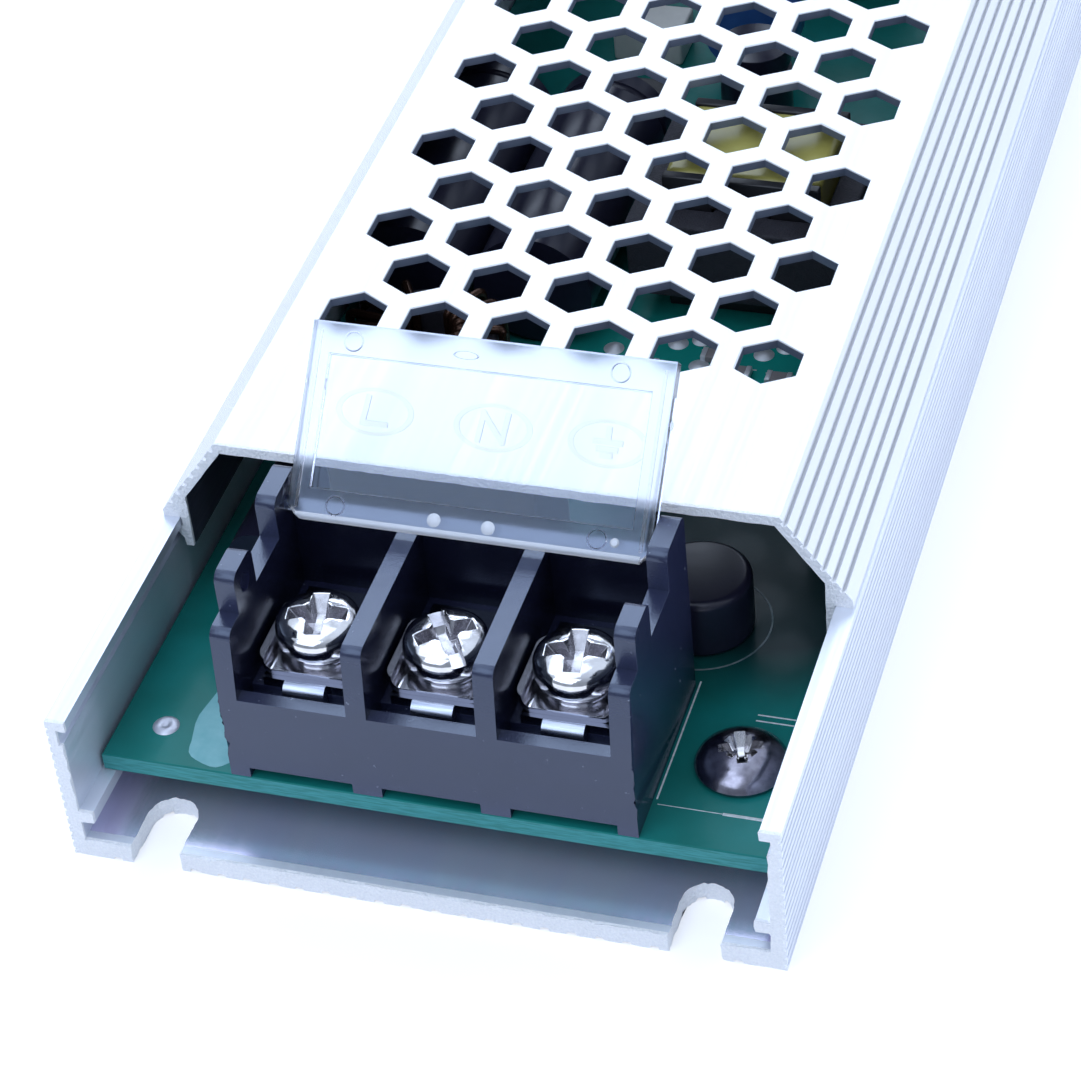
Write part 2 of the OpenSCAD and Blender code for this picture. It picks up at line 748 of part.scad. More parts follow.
module clamp_washer() {
    color("lightgray") translate([0, 0, contact_top]) difference() {
        intersection() {
            along_y(clamp_d) polygon(concat(clamp_half(), mirrored(clamp_half())));
            union() {
                block([clamp_w, clamp_d - 2 * clamp_corner_r, clamp_t + clamp_rise]);
                block([clamp_w - 2 * clamp_corner_r, clamp_d, clamp_t + clamp_rise]);
                both_sides() for (y = [-1, 1])
                    translate([clamp_w / 2 - clamp_corner_r, y * (clamp_d / 2 - clamp_corner_r), 0])
                        cylinder(r = clamp_corner_r, h = clamp_t + clamp_rise);
            }
        }
        translate([0, 0, -cut]) cylinder(r = screw_r + washer_gap, h = clamp_t + 2 * cut);
    }
}

module lock_washer() {
    color("gray") translate([0, 0, clamp_top]) difference() {
        cylinder(r = lock_r, h = lock_t);
        translate([0, 0, -cut]) cylinder(r = screw_r + washer_gap, h = lock_t + 2 * cut);
        translate([-lock_slit / 2, 0, -cut]) cube([lock_slit, lock_r + cut, lock_t + 2 * cut]);
    }
}

module terminal_screw(turn) {
    color("silver") translate([0, 0, head_bottom]) {
        domed_head(head_r, head_side_h, head_dome_h, turn, true);
        translate([0, 0, -screw_len]) cylinder(r = screw_r, h = screw_len + head_side_h / 2);
    }
}

// Lid about its hinge, lying flat towards -Y with the terminals below it
module flip_lid(poles, turn) {
    w = lid_w(poles);
    pin_reach = lid_gap + hinge_pin_len;
    color("lightcyan", 0.4) translate([0, hinge_y, hinge_h]) rotate([turn, 0, 0]) difference() {
        union() {
            translate([-w / 2, -lid_reach, -lid_t / 2]) cube([w, lid_reach + lid_tail, lid_t]);
            both_sides() translate([w / 2 - lid_t, 0, 0]) rotate([0, 90, 0])
                cylinder(r = hinge_pin_r, h = lid_t + pin_reach - hinge_gap);
            both_sides() translate([w / 2 - bump_r + bump_proud, -snap_reach, 0]) sphere(r = bump_r);
        }
        translate([-w / 2 + lid_rim_side, -lid_reach + lid_rim_end, -lid_t / 2 - cut])
            cube([w - 2 * lid_rim_side, lid_reach + lid_tail - 2 * lid_rim_end, lid_recess + cut]);
    }
}

// Mains side parts

// Two wire legs under a part that stands clear of the board
module legs(length) {
    for (side = [-1, 1]) translate([0, side * lead_pitch / 2, 0]) cylinder(r = lead_r, h = length);
}

module fuse() {
    color("#26252c") at_input() from_left(fuse_at) {
        translate([0, 0, fuse_size[0] + lead_r]) along_y(fuse_size[1]) circle(r = fuse_size[0]);
        legs(fuse_size[0]);
    }
}

module mains_filter_capacitor() {
    color("khaki") at_input() on_board(filter_cap_at) block([filter_cap_size[0], filter_cap_size[1], tall_h]);
}

module drum_choke() {
    color("#1c1b26") at_input() from_right(drum_at) cylinder(r = drum_r, h = drum_h);
}

// Disc part standing on edge on two legs
module disc_part(size) {
    stand = lead_r * 2;
    translate([0, 0, size[0] + stand]) along_y(size[1]) circle(r = size[0]);
    rotate([0, 0, 90]) legs(size[0]);
}

module surge_varistor() {
    color("royalblue") at_input() from_left(varistor_at) disc_part(varistor_size);
}

module ring_core(size) {
    lift = winding_t + winding_gap;
    rotate_extrude() translate([size[0], lift]) square([size[1] - size[0], size[2]]);
}

// Winding around part of a ring core, over a span centred on an angle
module ring_winding(size, middle, span) {
    lift = winding_t + winding_gap;
    rotate([0, 0, middle - span / 2]) rotate_extrude(angle = span) difference() {
        translate([size[0] - lift, 0]) square([size[1] - size[0] + 2 * lift, size[2] + 2 * lift]);
        translate([size[0] - winding_gap, winding_t])
            square([size[1] - size[0] + 2 * winding_gap, size[2] + 2 * winding_gap]);
    }
}

module filter_choke_core() {
    color("darkolivegreen") at_input() from_left(ring_choke_at) ring_core(ring_choke_size);
}

module filter_choke_windings() {
    color("peru") at_input() from_left(ring_choke_at)
        for (side = [0, 180]) ring_winding(ring_choke_size, side, filter_winding_span);
}

module film_capacitor() {
    color("sienna") at_input() on_board(film_cap_at) block(film_cap_size);
}

module bridge_rectifier() {
    color("#222222") at_input() from_right(bridge_at) block([bridge_size[0], bridge_size[1], package_h]);
}

// Can with a rolled groove below its vented top
module capacitor_can(r, h) {
    rotate_extrude() difference() {
        square([r, h]);
        translate([r, h - can_groove_below_top]) circle(r = can_groove_r);
    }
}

module bulk_capacitors() {
    color("#20202c") at_input() for (i = [0, 1]) from_left([bulk_edge + bulk_r + i * bulk_pitch, bulk_y]) {
        translate([0, 0, bulk_r + bulk_lift]) rotate([-90, 0, 0]) capacitor_can(bulk_r, bulk_len);
        translate([0, bulk_len - lead_pitch, 0]) rotate([0, 0, 90]) legs(bulk_r);
    }
}

// Transformer

module at_transformer() {
    at_input() from_left([transformer_x, transformer_y]) children();
}

module transformer_core() {
    window = [(core_size[0] - core_mid_w) / 2 - core_leg_w, core_size[1] - 2 * core_back_t, core_h + 2 * cut];
    color("#2b2a2e") at_transformer() translate([0, 0, core_z]) difference() {
        block([core_size[0], core_size[1], core_h]);
        both_sides() translate([(core_mid_w + window[0]) / 2, 0, -cut]) block(window);
    }
}

// Clearance hole for the middle leg of the core
module middle_leg_hole(length) {
    translate([0, 0, core_z - core_gap])
        block([core_mid_w + 2 * core_gap, length + cut, core_h + 2 * core_gap]);
}

module transformer_bobbin() {
    color("#1a1a1a") at_transformer() for (side = [-1, 1])
        translate([0, side * (winding_len - flange_t) / 2, 0]) difference() {
            block([winding_w, flange_t, tall_h]);
            middle_leg_hole(flange_t);
        }
}

module transformer_winding() {
    length = winding_len - 2 * flange_t;
    color("goldenrod") at_transformer() difference() {
        translate([0, 0, flange_t]) block([winding_w, length, tall_h - flange_t]);
        middle_leg_hole(length);
    }
}

// Heat bars and power packages

module heat_bar(at) {
    from_right(at) block([bar_size[0], bar_size[1], package_h]);
}

// Power package pressed flat against the inner face of a heat bar
module power_package(at) {
    from_right([at[0] + (bar_size[0] + package_size[0]) / 2, at[1]])
        block([package_size[0], package_size[1], package_h]);
}

module primary_heat_bar() {
    color("silver") at_input() heat_bar(primary_bar_at);
}

module primary_transistor() {
    color("#202020") at_input() power_package(primary_bar_at);
}

module secondary_heat_bar() {
    color("silver") at_output() heat_bar(secondary_bar_at);
}

module output_rectifier() {
    color("#202020") at_output() power_package(secondary_bar_at);
}

// Control and output parts

module controller_chip() {
    color("#181818") at_input() on_board(controller_at) block(controller_size);
}

module auxiliary_capacitor() {
    color("#20202c") at_input() on_board(aux_cap_at) capacitor_can(aux_cap_r, package_h);
}

module safety_capacitor() {
    color("steelblue") at_input() on_board(safety_cap_at) disc_part(safety_cap_size);
}

module optocoupler() {
    color("white") at_input() on_board(optocoupler_at) block(optocoupler_size);
}

module output_choke_core() {
    color("khaki") at_output() on_board(output_choke_at) ring_core(output_choke_size);
}

module output_choke_winding() {
    color("peru") at_output() on_board(output_choke_at)
        ring_winding(output_choke_size, 0, output_winding_span);
}

module output_capacitors() {
    color("#20202c") at_output() on_board(output_cap_at) for (i = [-1:1])
        translate([i * output_cap_pitch, 0, 0]) capacitor_can(output_cap_r, tall_h);
}

module indicator_led() {
    color("palegreen") at_output() from_right(led_at) {
        cylinder(r = led_size[0], h = led_size[1] - led_size[0]);
        translate([0, 0, led_size[1] - led_size[0]]) sphere(r = led_size[0]);
    }
}

module chip_parts() {
    color("dimgray") at_input() for (at = chip_places) on_board(at) block(chip_size);
}

base_channel();
top_cover();
insulating_sheet();
circuit_board();
board_standoffs();
board_screws();

at_input_block() terminal_block(input_poles);  // input_terminal_block
at_input_block() contacts(input_poles);  // input_contacts
at_input_block() flip_lid(input_poles, lid_open);  // input_lid
for (i = [0:input_poles - 1]) {
    at_input_block() at_pole(input_poles, i) terminal_screw(recess_turns[i]);
    at_input_block() at_pole(input_poles, i) lock_washer();
    at_input_block() at_pole(input_poles, i) clamp_washer();
}

at_output_block() terminal_block(output_poles);  // output_terminal_block
at_output_block() contacts(output_poles);  // output_contacts
at_output_block() flip_lid(output_poles, lid_closed);  // output_lid
for (i = [0:output_poles - 1]) {
    at_output_block() at_pole(output_poles, i) terminal_screw(recess_turns[i]);
    at_output_block() at_pole(output_poles, i) lock_washer();
    at_output_block() at_pole(output_poles, i) clamp_washer();
}

fuse();
mains_filter_capacitor();
drum_choke();
surge_varistor();
filter_choke_core();
filter_choke_windings();
film_capacitor();
bridge_rectifier();
bulk_capacitors();
transformer_core();
transformer_bobbin();
transformer_winding();
primary_heat_bar();
primary_transistor();
controller_chip();
auxiliary_capacitor();
safety_capacitor();
optocoupler();
secondary_heat_bar();
output_rectifier();
output_choke_core();
output_choke_winding();
output_capacitors();
indicator_led();
chip_parts();
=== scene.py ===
# %% [markdown]
# # Dressing a slim power supply
# The CAD model already has every solid at its true size and place. This lesson loads it as a fixed frame and
# dresses each solid: rounded edges, sawn ends, a new screw, a clear lid, and a finish made from nodes.

# %% Load the frame
import math

import bmesh
import bpy
from mathutils import Matrix, Vector


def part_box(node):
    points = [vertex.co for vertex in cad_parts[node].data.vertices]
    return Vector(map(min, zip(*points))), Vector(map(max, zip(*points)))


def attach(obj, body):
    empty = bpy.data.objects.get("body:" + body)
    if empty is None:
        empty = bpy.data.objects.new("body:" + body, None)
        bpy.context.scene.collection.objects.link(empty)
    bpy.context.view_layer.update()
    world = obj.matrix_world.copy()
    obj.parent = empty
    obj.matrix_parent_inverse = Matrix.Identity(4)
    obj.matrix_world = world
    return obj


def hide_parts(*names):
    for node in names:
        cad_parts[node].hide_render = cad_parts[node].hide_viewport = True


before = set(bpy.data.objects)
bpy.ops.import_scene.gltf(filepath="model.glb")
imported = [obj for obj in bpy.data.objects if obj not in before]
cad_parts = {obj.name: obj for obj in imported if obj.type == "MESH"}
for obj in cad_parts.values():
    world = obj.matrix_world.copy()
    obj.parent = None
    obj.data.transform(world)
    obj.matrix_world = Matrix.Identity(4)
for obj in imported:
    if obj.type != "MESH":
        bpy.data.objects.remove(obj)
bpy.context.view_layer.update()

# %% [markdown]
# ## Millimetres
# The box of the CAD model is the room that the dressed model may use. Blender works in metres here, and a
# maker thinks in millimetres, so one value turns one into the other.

mm = 0.001
scene = bpy.context.scene

# %% [markdown]
# ## The camera
# The photograph was taken close by, from above and a little to the right of the input end, with the rest of the
# case running out of the picture. Its place and its three axes were worked out from the straight edges of the
# case, so the camera is put there directly instead of being aimed by hand.

# %% Place the camera
def added(operator, name, **settings):
    """Adds a basic object while nothing else is selected, and names it."""
    bpy.ops.object.select_all(action="DESELECT")
    operator(**settings)
    bpy.context.object.name = name
    return bpy.context.object


photo_width, focal_pixels, sensor = 1081, 3416, 36
camera_place = Vector((69.3, -246.7, 175.4)) * mm
looking = Vector((-0.2686, 0.7105, -0.6504)).normalized()
to_right = Vector((0.9547, 0.2860, -0.0817))
to_right = (to_right - to_right.dot(looking) * looking).normalized()
upward = to_right.cross(looking)

camera = added(bpy.ops.object.camera_add, "photo_camera")
camera.matrix_world = Matrix.Translation(camera_place) @ Matrix((to_right, upward, -looking)).transposed().to_4x4()
camera.data.sensor_fit = "HORIZONTAL"
camera.data.sensor_width = sensor
camera.data.lens = sensor * focal_pixels / photo_width
camera.data.clip_start = 1 * mm
scene.camera = camera
scene.view_settings.view_transform = "Standard"
print("lens", round(camera.data.lens, 1), "mm")

# %% [markdown]
# ## The studio
# The picture is a product shot on a white sweep, in cool light. A pale floor takes the soft shadow. A broad lamp
# stands behind, where flat tops mirror it, and others above, in front and at the right. The world is white to the
# eye, and a little dimmer towards the side where the photographer stands, so that polished metal has something dark
# to mirror. Light Path tells those rays apart.

# %% Lay the floor
def fill(tree, node, inputs):
    """Fills a node's inputs: a socket is linked, anything else is set as a plain value."""
    for key, value in inputs.items():
        if isinstance(value, bpy.types.NodeSocket):
            tree.links.new(value, node.inputs[key])
        else:
            node.inputs[key].default_value = value


def node_in(tree, kind, inputs=None, **settings):
    """Adds a node to a tree, sets its plain settings and fills its inputs."""
    made = tree.nodes.new(kind)
    for key, value in settings.items():
        setattr(made, key, value)
    fill(tree, made, inputs or {})
    return made


def seen_directly(tree):
    """Two values: one for rays from the eye, a mirror or glass, the other for the eye or glass alone."""
    rays = node_in(tree, "ShaderNodeLightPath").outputs
    either = lambda a, b: node_in(tree, "ShaderNodeMath", {0: a, 1: b}, operation="MAXIMUM").outputs[0]
    eye_or_glass = either(rays["Is Camera Ray"], rays["Is Transmission Ray"])
    return either(eye_or_glass, rays["Is Glossy Ray"]), eye_or_glass


floor = added(bpy.ops.mesh.primitive_plane_add, "studio_floor", size=6)
floor_paint = bpy.data.materials.new("floor_paint")
floor_paint.use_nodes = True
floor_tree = floor_paint.node_tree
floor_glow = node_in(floor_tree, "ShaderNodeMath", {0: seen_directly(floor_tree)[0], 1: 0.42}, operation="MULTIPLY")
fill(floor_tree, floor_tree.nodes["Principled BSDF"], {
    "Base Color": (0.80, 0.80, 0.82, 1), "Roughness": 0.9, "Specular IOR Level": 0,
    "Emission Color": (1, 1, 1, 1), "Emission Strength": floor_glow.outputs[0]})
floor.data.materials.append(floor_paint)
print("floor laid at z = 0")

# %% Light the world
def between(tree, share, first, second, kind="FLOAT"):
    """Two values or colours, mixed by a share."""
    mix = node_in(tree, "ShaderNodeMix", {"Factor": share, "A": first, "B": second}, data_type=kind)
    return mix.outputs["Result"]


world = bpy.data.worlds.new("white_studio")
world.use_nodes = True
scene.world = world
air = world.node_tree
cool_light = (0.71, 0.82, 1.0)
mirrors_too, eye_or_glass = seen_directly(air)
compass = node_in(air, "ShaderNodeTexCoord").outputs["Generated"]
room = node_in(air, "ShaderNodeMapRange", {
    "Value": node_in(air, "ShaderNodeSeparateXYZ", {0: compass}).outputs["Y"],
    "From Min": -0.9, "From Max": 0.25, "To Min": 0.44, "To Max": 1.1}, interpolation_type="SMOOTHSTEP")
mirrored_room = between(air, mirrors_too, 0.60, room.outputs["Result"])
fill(air, air.nodes["Background"], {
    "Color": between(air, eye_or_glass, (*cool_light, 1), (1, 1, 1, 1), "RGBA"),
    "Strength": between(air, eye_or_glass, mirrored_room, 1.0)})
print("world: white to the eye, dimmer towards the photographer")

# %% Hang the lamps
target = Vector((0, -60, 8)) * mm
for name, place, size, power in (
    ("back_softbox", (-130, 300, 340), 300, 0.77),
    ("top_softbox", (-150, -20, 520), 420, 0.55),
    ("front_fill", (-112, -380, 403), 400, 1.1),
    ("side_fill", (520, -40, 130), 300, 1.3),
):
    lamp = added(bpy.ops.object.light_add, name, type="AREA", location=Vector(place) * mm)
    lamp.data.size = size * mm
    lamp.data.energy = power
    lamp.data.color = cool_light
    lamp.rotation_euler = (target - lamp.location).to_track_quat("-Z", "Y").to_euler()
    print(name, "at", place, "mm,", power, "W")

# %% [markdown]
# ## Working like a modeller, in code
# Operators act on whatever is selected, so every step first clears the selection and then picks faces, edges or
# points by where they are. These few helpers do what a hand does with the mouse.

# %% Selecting helpers
def pick(piece):
    """Makes one object the only selected one, and the active one."""
    bpy.ops.object.select_all(action="DESELECT")
    piece.select_set(True)
    bpy.context.view_layer.objects.active = piece


def edit(piece, action="DESELECT"):
    """Opens a piece in edit mode with nothing selected or, given SELECT, with all of it."""
    pick(piece)
    bpy.ops.object.mode_set(mode="EDIT")
    bpy.ops.mesh.select_all(action=action)


def leave():
    """Back to object mode."""
    bpy.ops.object.mode_set(mode="OBJECT")


def choose(piece, kind, test):
    """Selects only the faces, edges or points that pass a test, and says how many."""
    bpy.ops.mesh.select_mode(type=kind)
    bpy.ops.mesh.select_all(action="DESELECT")
    mesh = bmesh.from_edit_mesh(piece.data)
    group = {"VERT": mesh.verts, "EDGE": mesh.edges, "FACE": mesh.faces}[kind]
    chosen = [part for part in group if test(part)]
    for part in chosen:
        part.select_set(True)
    mesh.select_flush_mode()
    bmesh.update_edit_mesh(piece.data)
    return len(chosen)


def sharp(edge, degrees=35):
    """Whether two faces meet at an edge with more than this turn."""
    return len(edge.link_faces) == 2 and edge.calc_face_angle(0) > math.radians(degrees)


def middle(edge):
    """The point half way along an edge."""
    return (edge.verts[0].co + edge.verts[1].co) / 2


def apply_modifier(piece, kind, **settings):
    """Adds a modifier, sets it and applies it."""
    pick(piece)
    modifier = piece.modifiers.new(kind.lower(), kind)
    for key, value in settings.items():
        setattr(modifier, key, value)
    bpy.ops.object.modifier_apply(modifier=modifier.name)


print("selecting helpers ready")

# %% Finishing helpers
merge_gap, touching, flat_angle = 0.0005 * mm, 0.01 * mm, math.radians(0.4)


def settle(piece):
    """Puts a piece's place, turn and size into its mesh, so that its object sits at the origin."""
    pick(piece)
    bpy.ops.object.transform_apply(location=True, rotation=True, scale=True)


def face_outwards(piece):
    """Joins doubled points and turns every face outwards."""
    edit(piece, "SELECT")
    bpy.ops.mesh.remove_doubles(threshold=merge_gap)
    bpy.ops.mesh.normals_make_consistent(inside=False)
    leave()


def smooth(piece, degrees=40):
    """Shades a piece smooth, apart from edges sharper than this."""
    pick(piece)
    bpy.ops.object.shade_smooth_by_angle(angle=math.radians(degrees))
    apply_modifier(piece, "WEIGHTED_NORMAL", keep_sharp=True)


def paint(piece, *finishes):
    """Gives a piece its finishes, the first one all over."""
    piece.data.materials.clear()
    for finish in finishes:
        piece.data.materials.append(finish)


def paint_faces(piece, index, test):
    """Gives the faces that pass a test another of the piece's finishes."""
    count = 0
    for face in piece.data.polygons:
        if test(face):
            face.material_index = index
            count += 1
    return count


def install(piece, slot, *nodes, body="case"):
    """Fixes a piece to a body and lets it stand for CAD nodes; the slot is not used."""
    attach(piece, body)
    if nodes:
        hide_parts(*nodes)


def dress(piece, finish, slot, *nodes, body="case", degrees=40):
    """Paints a piece with one finish, shades it and installs it."""
    paint(piece, finish)
    smooth(piece, degrees)
    install(piece, slot, *nodes, body=body)


def copy_of(node):
    """A copy of a CAD node with its loose triangles joined and its flat faces made whole."""
    piece = bpy.data.objects.new(node + ".dressed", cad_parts[node].data.copy())
    scene.collection.objects.link(piece)
    pick(piece)
    bpy.ops.mesh.customdata_custom_splitnormals_clear()
    edit(piece, "SELECT")
    bpy.ops.mesh.remove_doubles(threshold=merge_gap)
    choose(piece, "FACE", lambda face: True)
    bpy.ops.mesh.dissolve_limited(angle_limit=flat_angle)
    leave()
    return piece


def round_edges(piece, width, test=sharp, segments=2):
    """Rounds the edges that pass a test."""
    edit(piece)
    count = choose(piece, "EDGE", test)
    if count:
        bpy.ops.mesh.bevel(offset=width * mm, segments=segments, affect="EDGES", clamp_overlap=True)
    leave()
    return count


print("helpers ready")

# %% [markdown]
# ## Patterns that several finishes share
# Extruded metal has lines along its length, plastic and coatings have a faint mottle, and everything has fine
# grain. All three are noise stretched by different amounts, so one node group with named inputs makes them.

# %% Build the pattern group
grain_group = bpy.data.node_groups.new("stretched_grain", "ShaderNodeTree")
grain_inputs = ("Across", "Along", "Upright", "Low", "High")
for name in (*grain_inputs, "Mask"):
    grain_group.interface.new_socket(
        name=name, in_out="OUTPUT" if name == "Mask" else "INPUT", socket_type="NodeSocketFloat")
entry = node_in(grain_group, "NodeGroupInput").outputs
place = node_in(grain_group, "ShaderNodeTexCoord").outputs["Object"]
stretch = node_in(grain_group, "ShaderNodeCombineXYZ",
                  {"X": entry["Across"], "Y": entry["Along"], "Z": entry["Upright"]}).outputs[0]
scaled = node_in(grain_group, "ShaderNodeVectorMath", {0: place, 1: stretch}, operation="MULTIPLY").outputs[0]
noise = node_in(grain_group, "ShaderNodeTexNoise", {"Vector": scaled, "Scale": 1, "Detail": 4}).outputs["Fac"]
spread = node_in(grain_group, "ShaderNodeMapRange",
                 {"Value": noise, "From Min": entry["Low"], "From Max": entry["High"]}).outputs["Result"]
node_in(grain_group, "NodeGroupOutput", {"Mask": spread})
print("pattern group with inputs", ", ".join(grain_inputs))

# %% Finish helpers
def shader_of(finish):
    """The one shader of a finish."""
    return finish.node_tree.nodes["Principled BSDF"]


def soft(size, low=0.2, high=0.8):
    """An even grain that changes gently, because its two ends lie further apart."""
    return size, size, size, low, high


def grain(finish, sizes):
    """Places the pattern group in a finish. Sizes are in lines to the metre: one for all ways, or one for each."""
    sizes = sizes if isinstance(sizes, tuple) else (sizes, sizes, sizes)
    values = dict(zip(grain_inputs, (*sizes, 0.35, 0.65)))
    return node_in(finish.node_tree, "ShaderNodeGroup", values, node_tree=grain_group).outputs["Mask"]


def new_finish(name, colour, roughness, tones=None, sheen=None, relief=None, **values):
    """A material with one shader. Plain values go on its sockets; tones, sheen and relief each follow a grain."""
    finish = bpy.data.materials.new(name)
    finish.use_nodes = True
    tree, shader = finish.node_tree, shader_of(finish)
    fill(tree, shader, {"Base Color": (*colour, 1), "Roughness": roughness})
    fill(tree, shader, {key.replace("_", " "): value for key, value in values.items()})
    if tones:
        sizes, first, second = tones
        fill(tree, shader, {"Base Color": between(tree, grain(finish, sizes), (*first, 1), (*second, 1), "RGBA")})
    if sheen:
        sizes, first, second = sheen
        run = node_in(tree, "ShaderNodeMapRange", {"Value": grain(finish, sizes), "To Min": first, "To Max": second})
        fill(tree, shader, {"Roughness": run.outputs["Result"]})
    if relief:
        sizes, depth, strength = (*relief, 1.0)[:3]
        bump = node_in(tree, "ShaderNodeBump",
                       {"Height": grain(finish, sizes), "Distance": depth * mm, "Strength": strength})
        fill(tree, shader, {"Normal": bump.outputs["Normal"]})
    return finish


def overlay(finish, mask, colour):
    """Lays another colour over what a finish already has, where a mask says."""
    tree, base = finish.node_tree, shader_of(finish).inputs["Base Color"]
    tree.links.new(between(tree, mask, base.links[0].from_socket, (*colour, 1), "RGBA"), base)


def spot(finish, centre, near, far):
    """A soft round patch: whole within the near distance of its centre, gone beyond the far one."""
    tree = finish.node_tree
    place = node_in(tree, "ShaderNodeTexCoord").outputs["Object"]
    reach = node_in(tree, "ShaderNodeVectorMath", {0: place, 1: [x * mm for x in centre]}, operation="DISTANCE")
    return node_in(tree, "ShaderNodeMapRange", {
        "Value": reach.outputs["Value"], "From Min": near * mm, "From Max": far * mm,
        "To Min": 1, "To Max": 0}).outputs["Result"]


print("pattern group and finish helpers ready")

# %% [markdown]
# ## Aluminium
# The channel and the cover are pressed through a die, which leaves fine lines along the length. Where the saw
# and the cutter went through, the metal is torn, pale and granular. The drawn skin of the channel, its floor plate
# in a brighter and bluer copy of that skin as painted light, the paler anodised skin of the cover, its dull inside
# and the walls of its vents, both painted dark as painted shade, and the sawn ends each get a finish, and so do
# the plain bars under the cover.

# %% Mix the aluminium finishes
def drawn_metal(name, colour, dull, shine, roughness, lines):
    """Metal with lines along the case."""
    fine = lines * 1.7
    return new_finish(name, colour, roughness[0], ((220, 14, 220), dull, colour), ((lines, 9, lines), *roughness),
                      ((fine, 16, fine), 0.002, 0.5), Metallic=shine)


channel_metal = drawn_metal("channel_metal", (0.77, 0.80, 0.87), (0.71, 0.74, 0.82), 0.5, (0.34, 0.48), 2600)
# The floor plate's copy is brighter and bluer than the channel's skin: painted light.
lit_plate_metal = drawn_metal("lit_plate_metal", (0.88, 0.82, 1.0), (0.80, 0.74, 0.99), 0.74, (0.22, 0.27), 2600)
cover_metal = drawn_metal("cover_metal", (0.89, 0.89, 0.90), (0.85, 0.85, 0.87), 0.3, (0.42, 0.54), 2200)
# The inside of the cover is painted darker than its skin: painted shade.
shaded_inside_metal = drawn_metal("shaded_inside_metal", (0.09, 0.10, 0.14), (0.06, 0.07, 0.10), 0.4, (0.45, 0.6), 1800)
# The walls of the vents are painted darker than the skin: painted shade.
shaded_vent_metal = drawn_metal("shaded_vent_metal", (0.20, 0.23, 0.31), (0.15, 0.18, 0.25), 0.5, (0.40, 0.55), 1800)
bar_metal = drawn_metal("bar_metal", (0.72, 0.73, 0.77), (0.62, 0.63, 0.68), 0.9, (0.30, 0.45), 1800)
sawn_metal = new_finish("sawn_metal", (0.88, 0.89, 0.93), 0.6, relief=(4200, 0.05), Metallic=0.15,
                        tones=(soft(5200, 0.3, 0.7), (0.88, 0.89, 0.93), (0.99, 0.99, 1.0)))
print("aluminium finishes mixed")

# %% [markdown]
# ## The channel and its sawn ends
# The ends were cut with a coarse saw and not deburred: the edge is ragged, and the fixing slots are rough too.
# Bisect cuts a thin band behind each end, then crosses the end with many planes, so that it becomes a net of small
# faces. Their points are scattered a little. The band keeps the scatter out of the smooth walls.

# %% Cut and tear the ends
def divide_long_edges(piece, test, step):
    """Divides the edges that pass a test into pieces of about one step."""
    most_cuts = 120
    cuts_for = lambda edge: min(int(edge.calc_length() / (step * mm)), most_cuts)
    for cuts in sorted({cuts_for(e) for e in bmesh.from_edit_mesh(piece.data).edges if test(e)} - {0}):
        choose(piece, "EDGE", lambda e: test(e) and cuts_for(e) == cuts)
        bpy.ops.mesh.subdivide(number_cuts=cuts, quadcorner="INNERVERT")


def keep_in(piece, low, high):
    """Brings points that stand out of a box back to its sides."""
    for point in piece.data.vertices:
        point.co = [min(max(x, a), b) for x, a, b in zip(point.co, low, high)]


def scatter(distance, seed, even=0.2):
    """Moves the selected points by chance, by up to about a distance in mm."""
    bpy.ops.transform.vertex_random(offset=distance * mm, uniform=even, normal=0, seed=seed)


def cut_across(y):
    """Cuts what is selected with a plane across the case."""
    bpy.ops.mesh.bisect(plane_co=(0, y, 0), plane_no=(0, 1, 0))


def tear_end(piece, end, band, step, throw, seed):
    """Nets one sawn end of an extrusion and scatters its points."""
    shortest = 0.22 * mm
    at_end = lambda point: abs(point.co.y - end) < touching
    edit(piece, "SELECT")
    cut_across(end - math.copysign(band * mm, end))
    choose(piece, "FACE", lambda f: all(at_end(v) for v in f.verts))
    bpy.ops.mesh.dissolve_limited(angle_limit=flat_angle)
    low, high = piece.bound_box[0], piece.bound_box[6]
    for axis in (0, 2):
        across = Vector([1 if k == axis else 0 for k in range(3)])
        for k in range(1, int((high[axis] - low[axis]) / (step * mm))):
            choose(piece, "FACE", lambda f: any(at_end(v) for v in f.verts))
            bpy.ops.mesh.bisect(plane_co=across * (low[axis] + (k - 0.4) * step * mm), plane_no=across)
    scattered = choose(piece, "VERT", lambda v: at_end(v) and all(
        e.calc_length() > shortest for e in v.link_edges if all(at_end(w) for w in e.verts)))
    scatter(throw, seed)
    bpy.ops.transform.resize(value=(1, 0.4, 1), center_override=(0, end, 0))
    leave()
    return scattered


case_end, filed = 95 * mm, 0.95 * mm
channel = copy_of("base_channel")
channel_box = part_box("base_channel")
paint(channel, channel_metal, sawn_metal, lit_plate_metal)
for end, seed in ((-case_end, 11), (case_end, 12)):
    print("channel end: scattered", tear_end(channel, end, 0.3, 0.7, 0.13, seed), "points")
for end in (filed - case_end, case_end - filed):
    edit(channel, "SELECT")
    cut_across(end)
    leave()
keep_in(channel, *channel_box)

# %% Roughen the slots and colour the cuts
slot_x, slot_half, slot_reach, slot_top = 20 * mm, 2.2 * mm, 6 * mm, 2 * mm
plate_top, flush, torn = 1.6 * mm, 0.05 * mm, 0.29 * mm


def in_slot(place):
    """Whether a place is in one of the four fixing slots, clear of the torn end."""
    return (abs(abs(place.x) - slot_x) < slot_half and place.z < slot_top
            and case_end - slot_reach < abs(place.y) < case_end - 0.2 * mm)


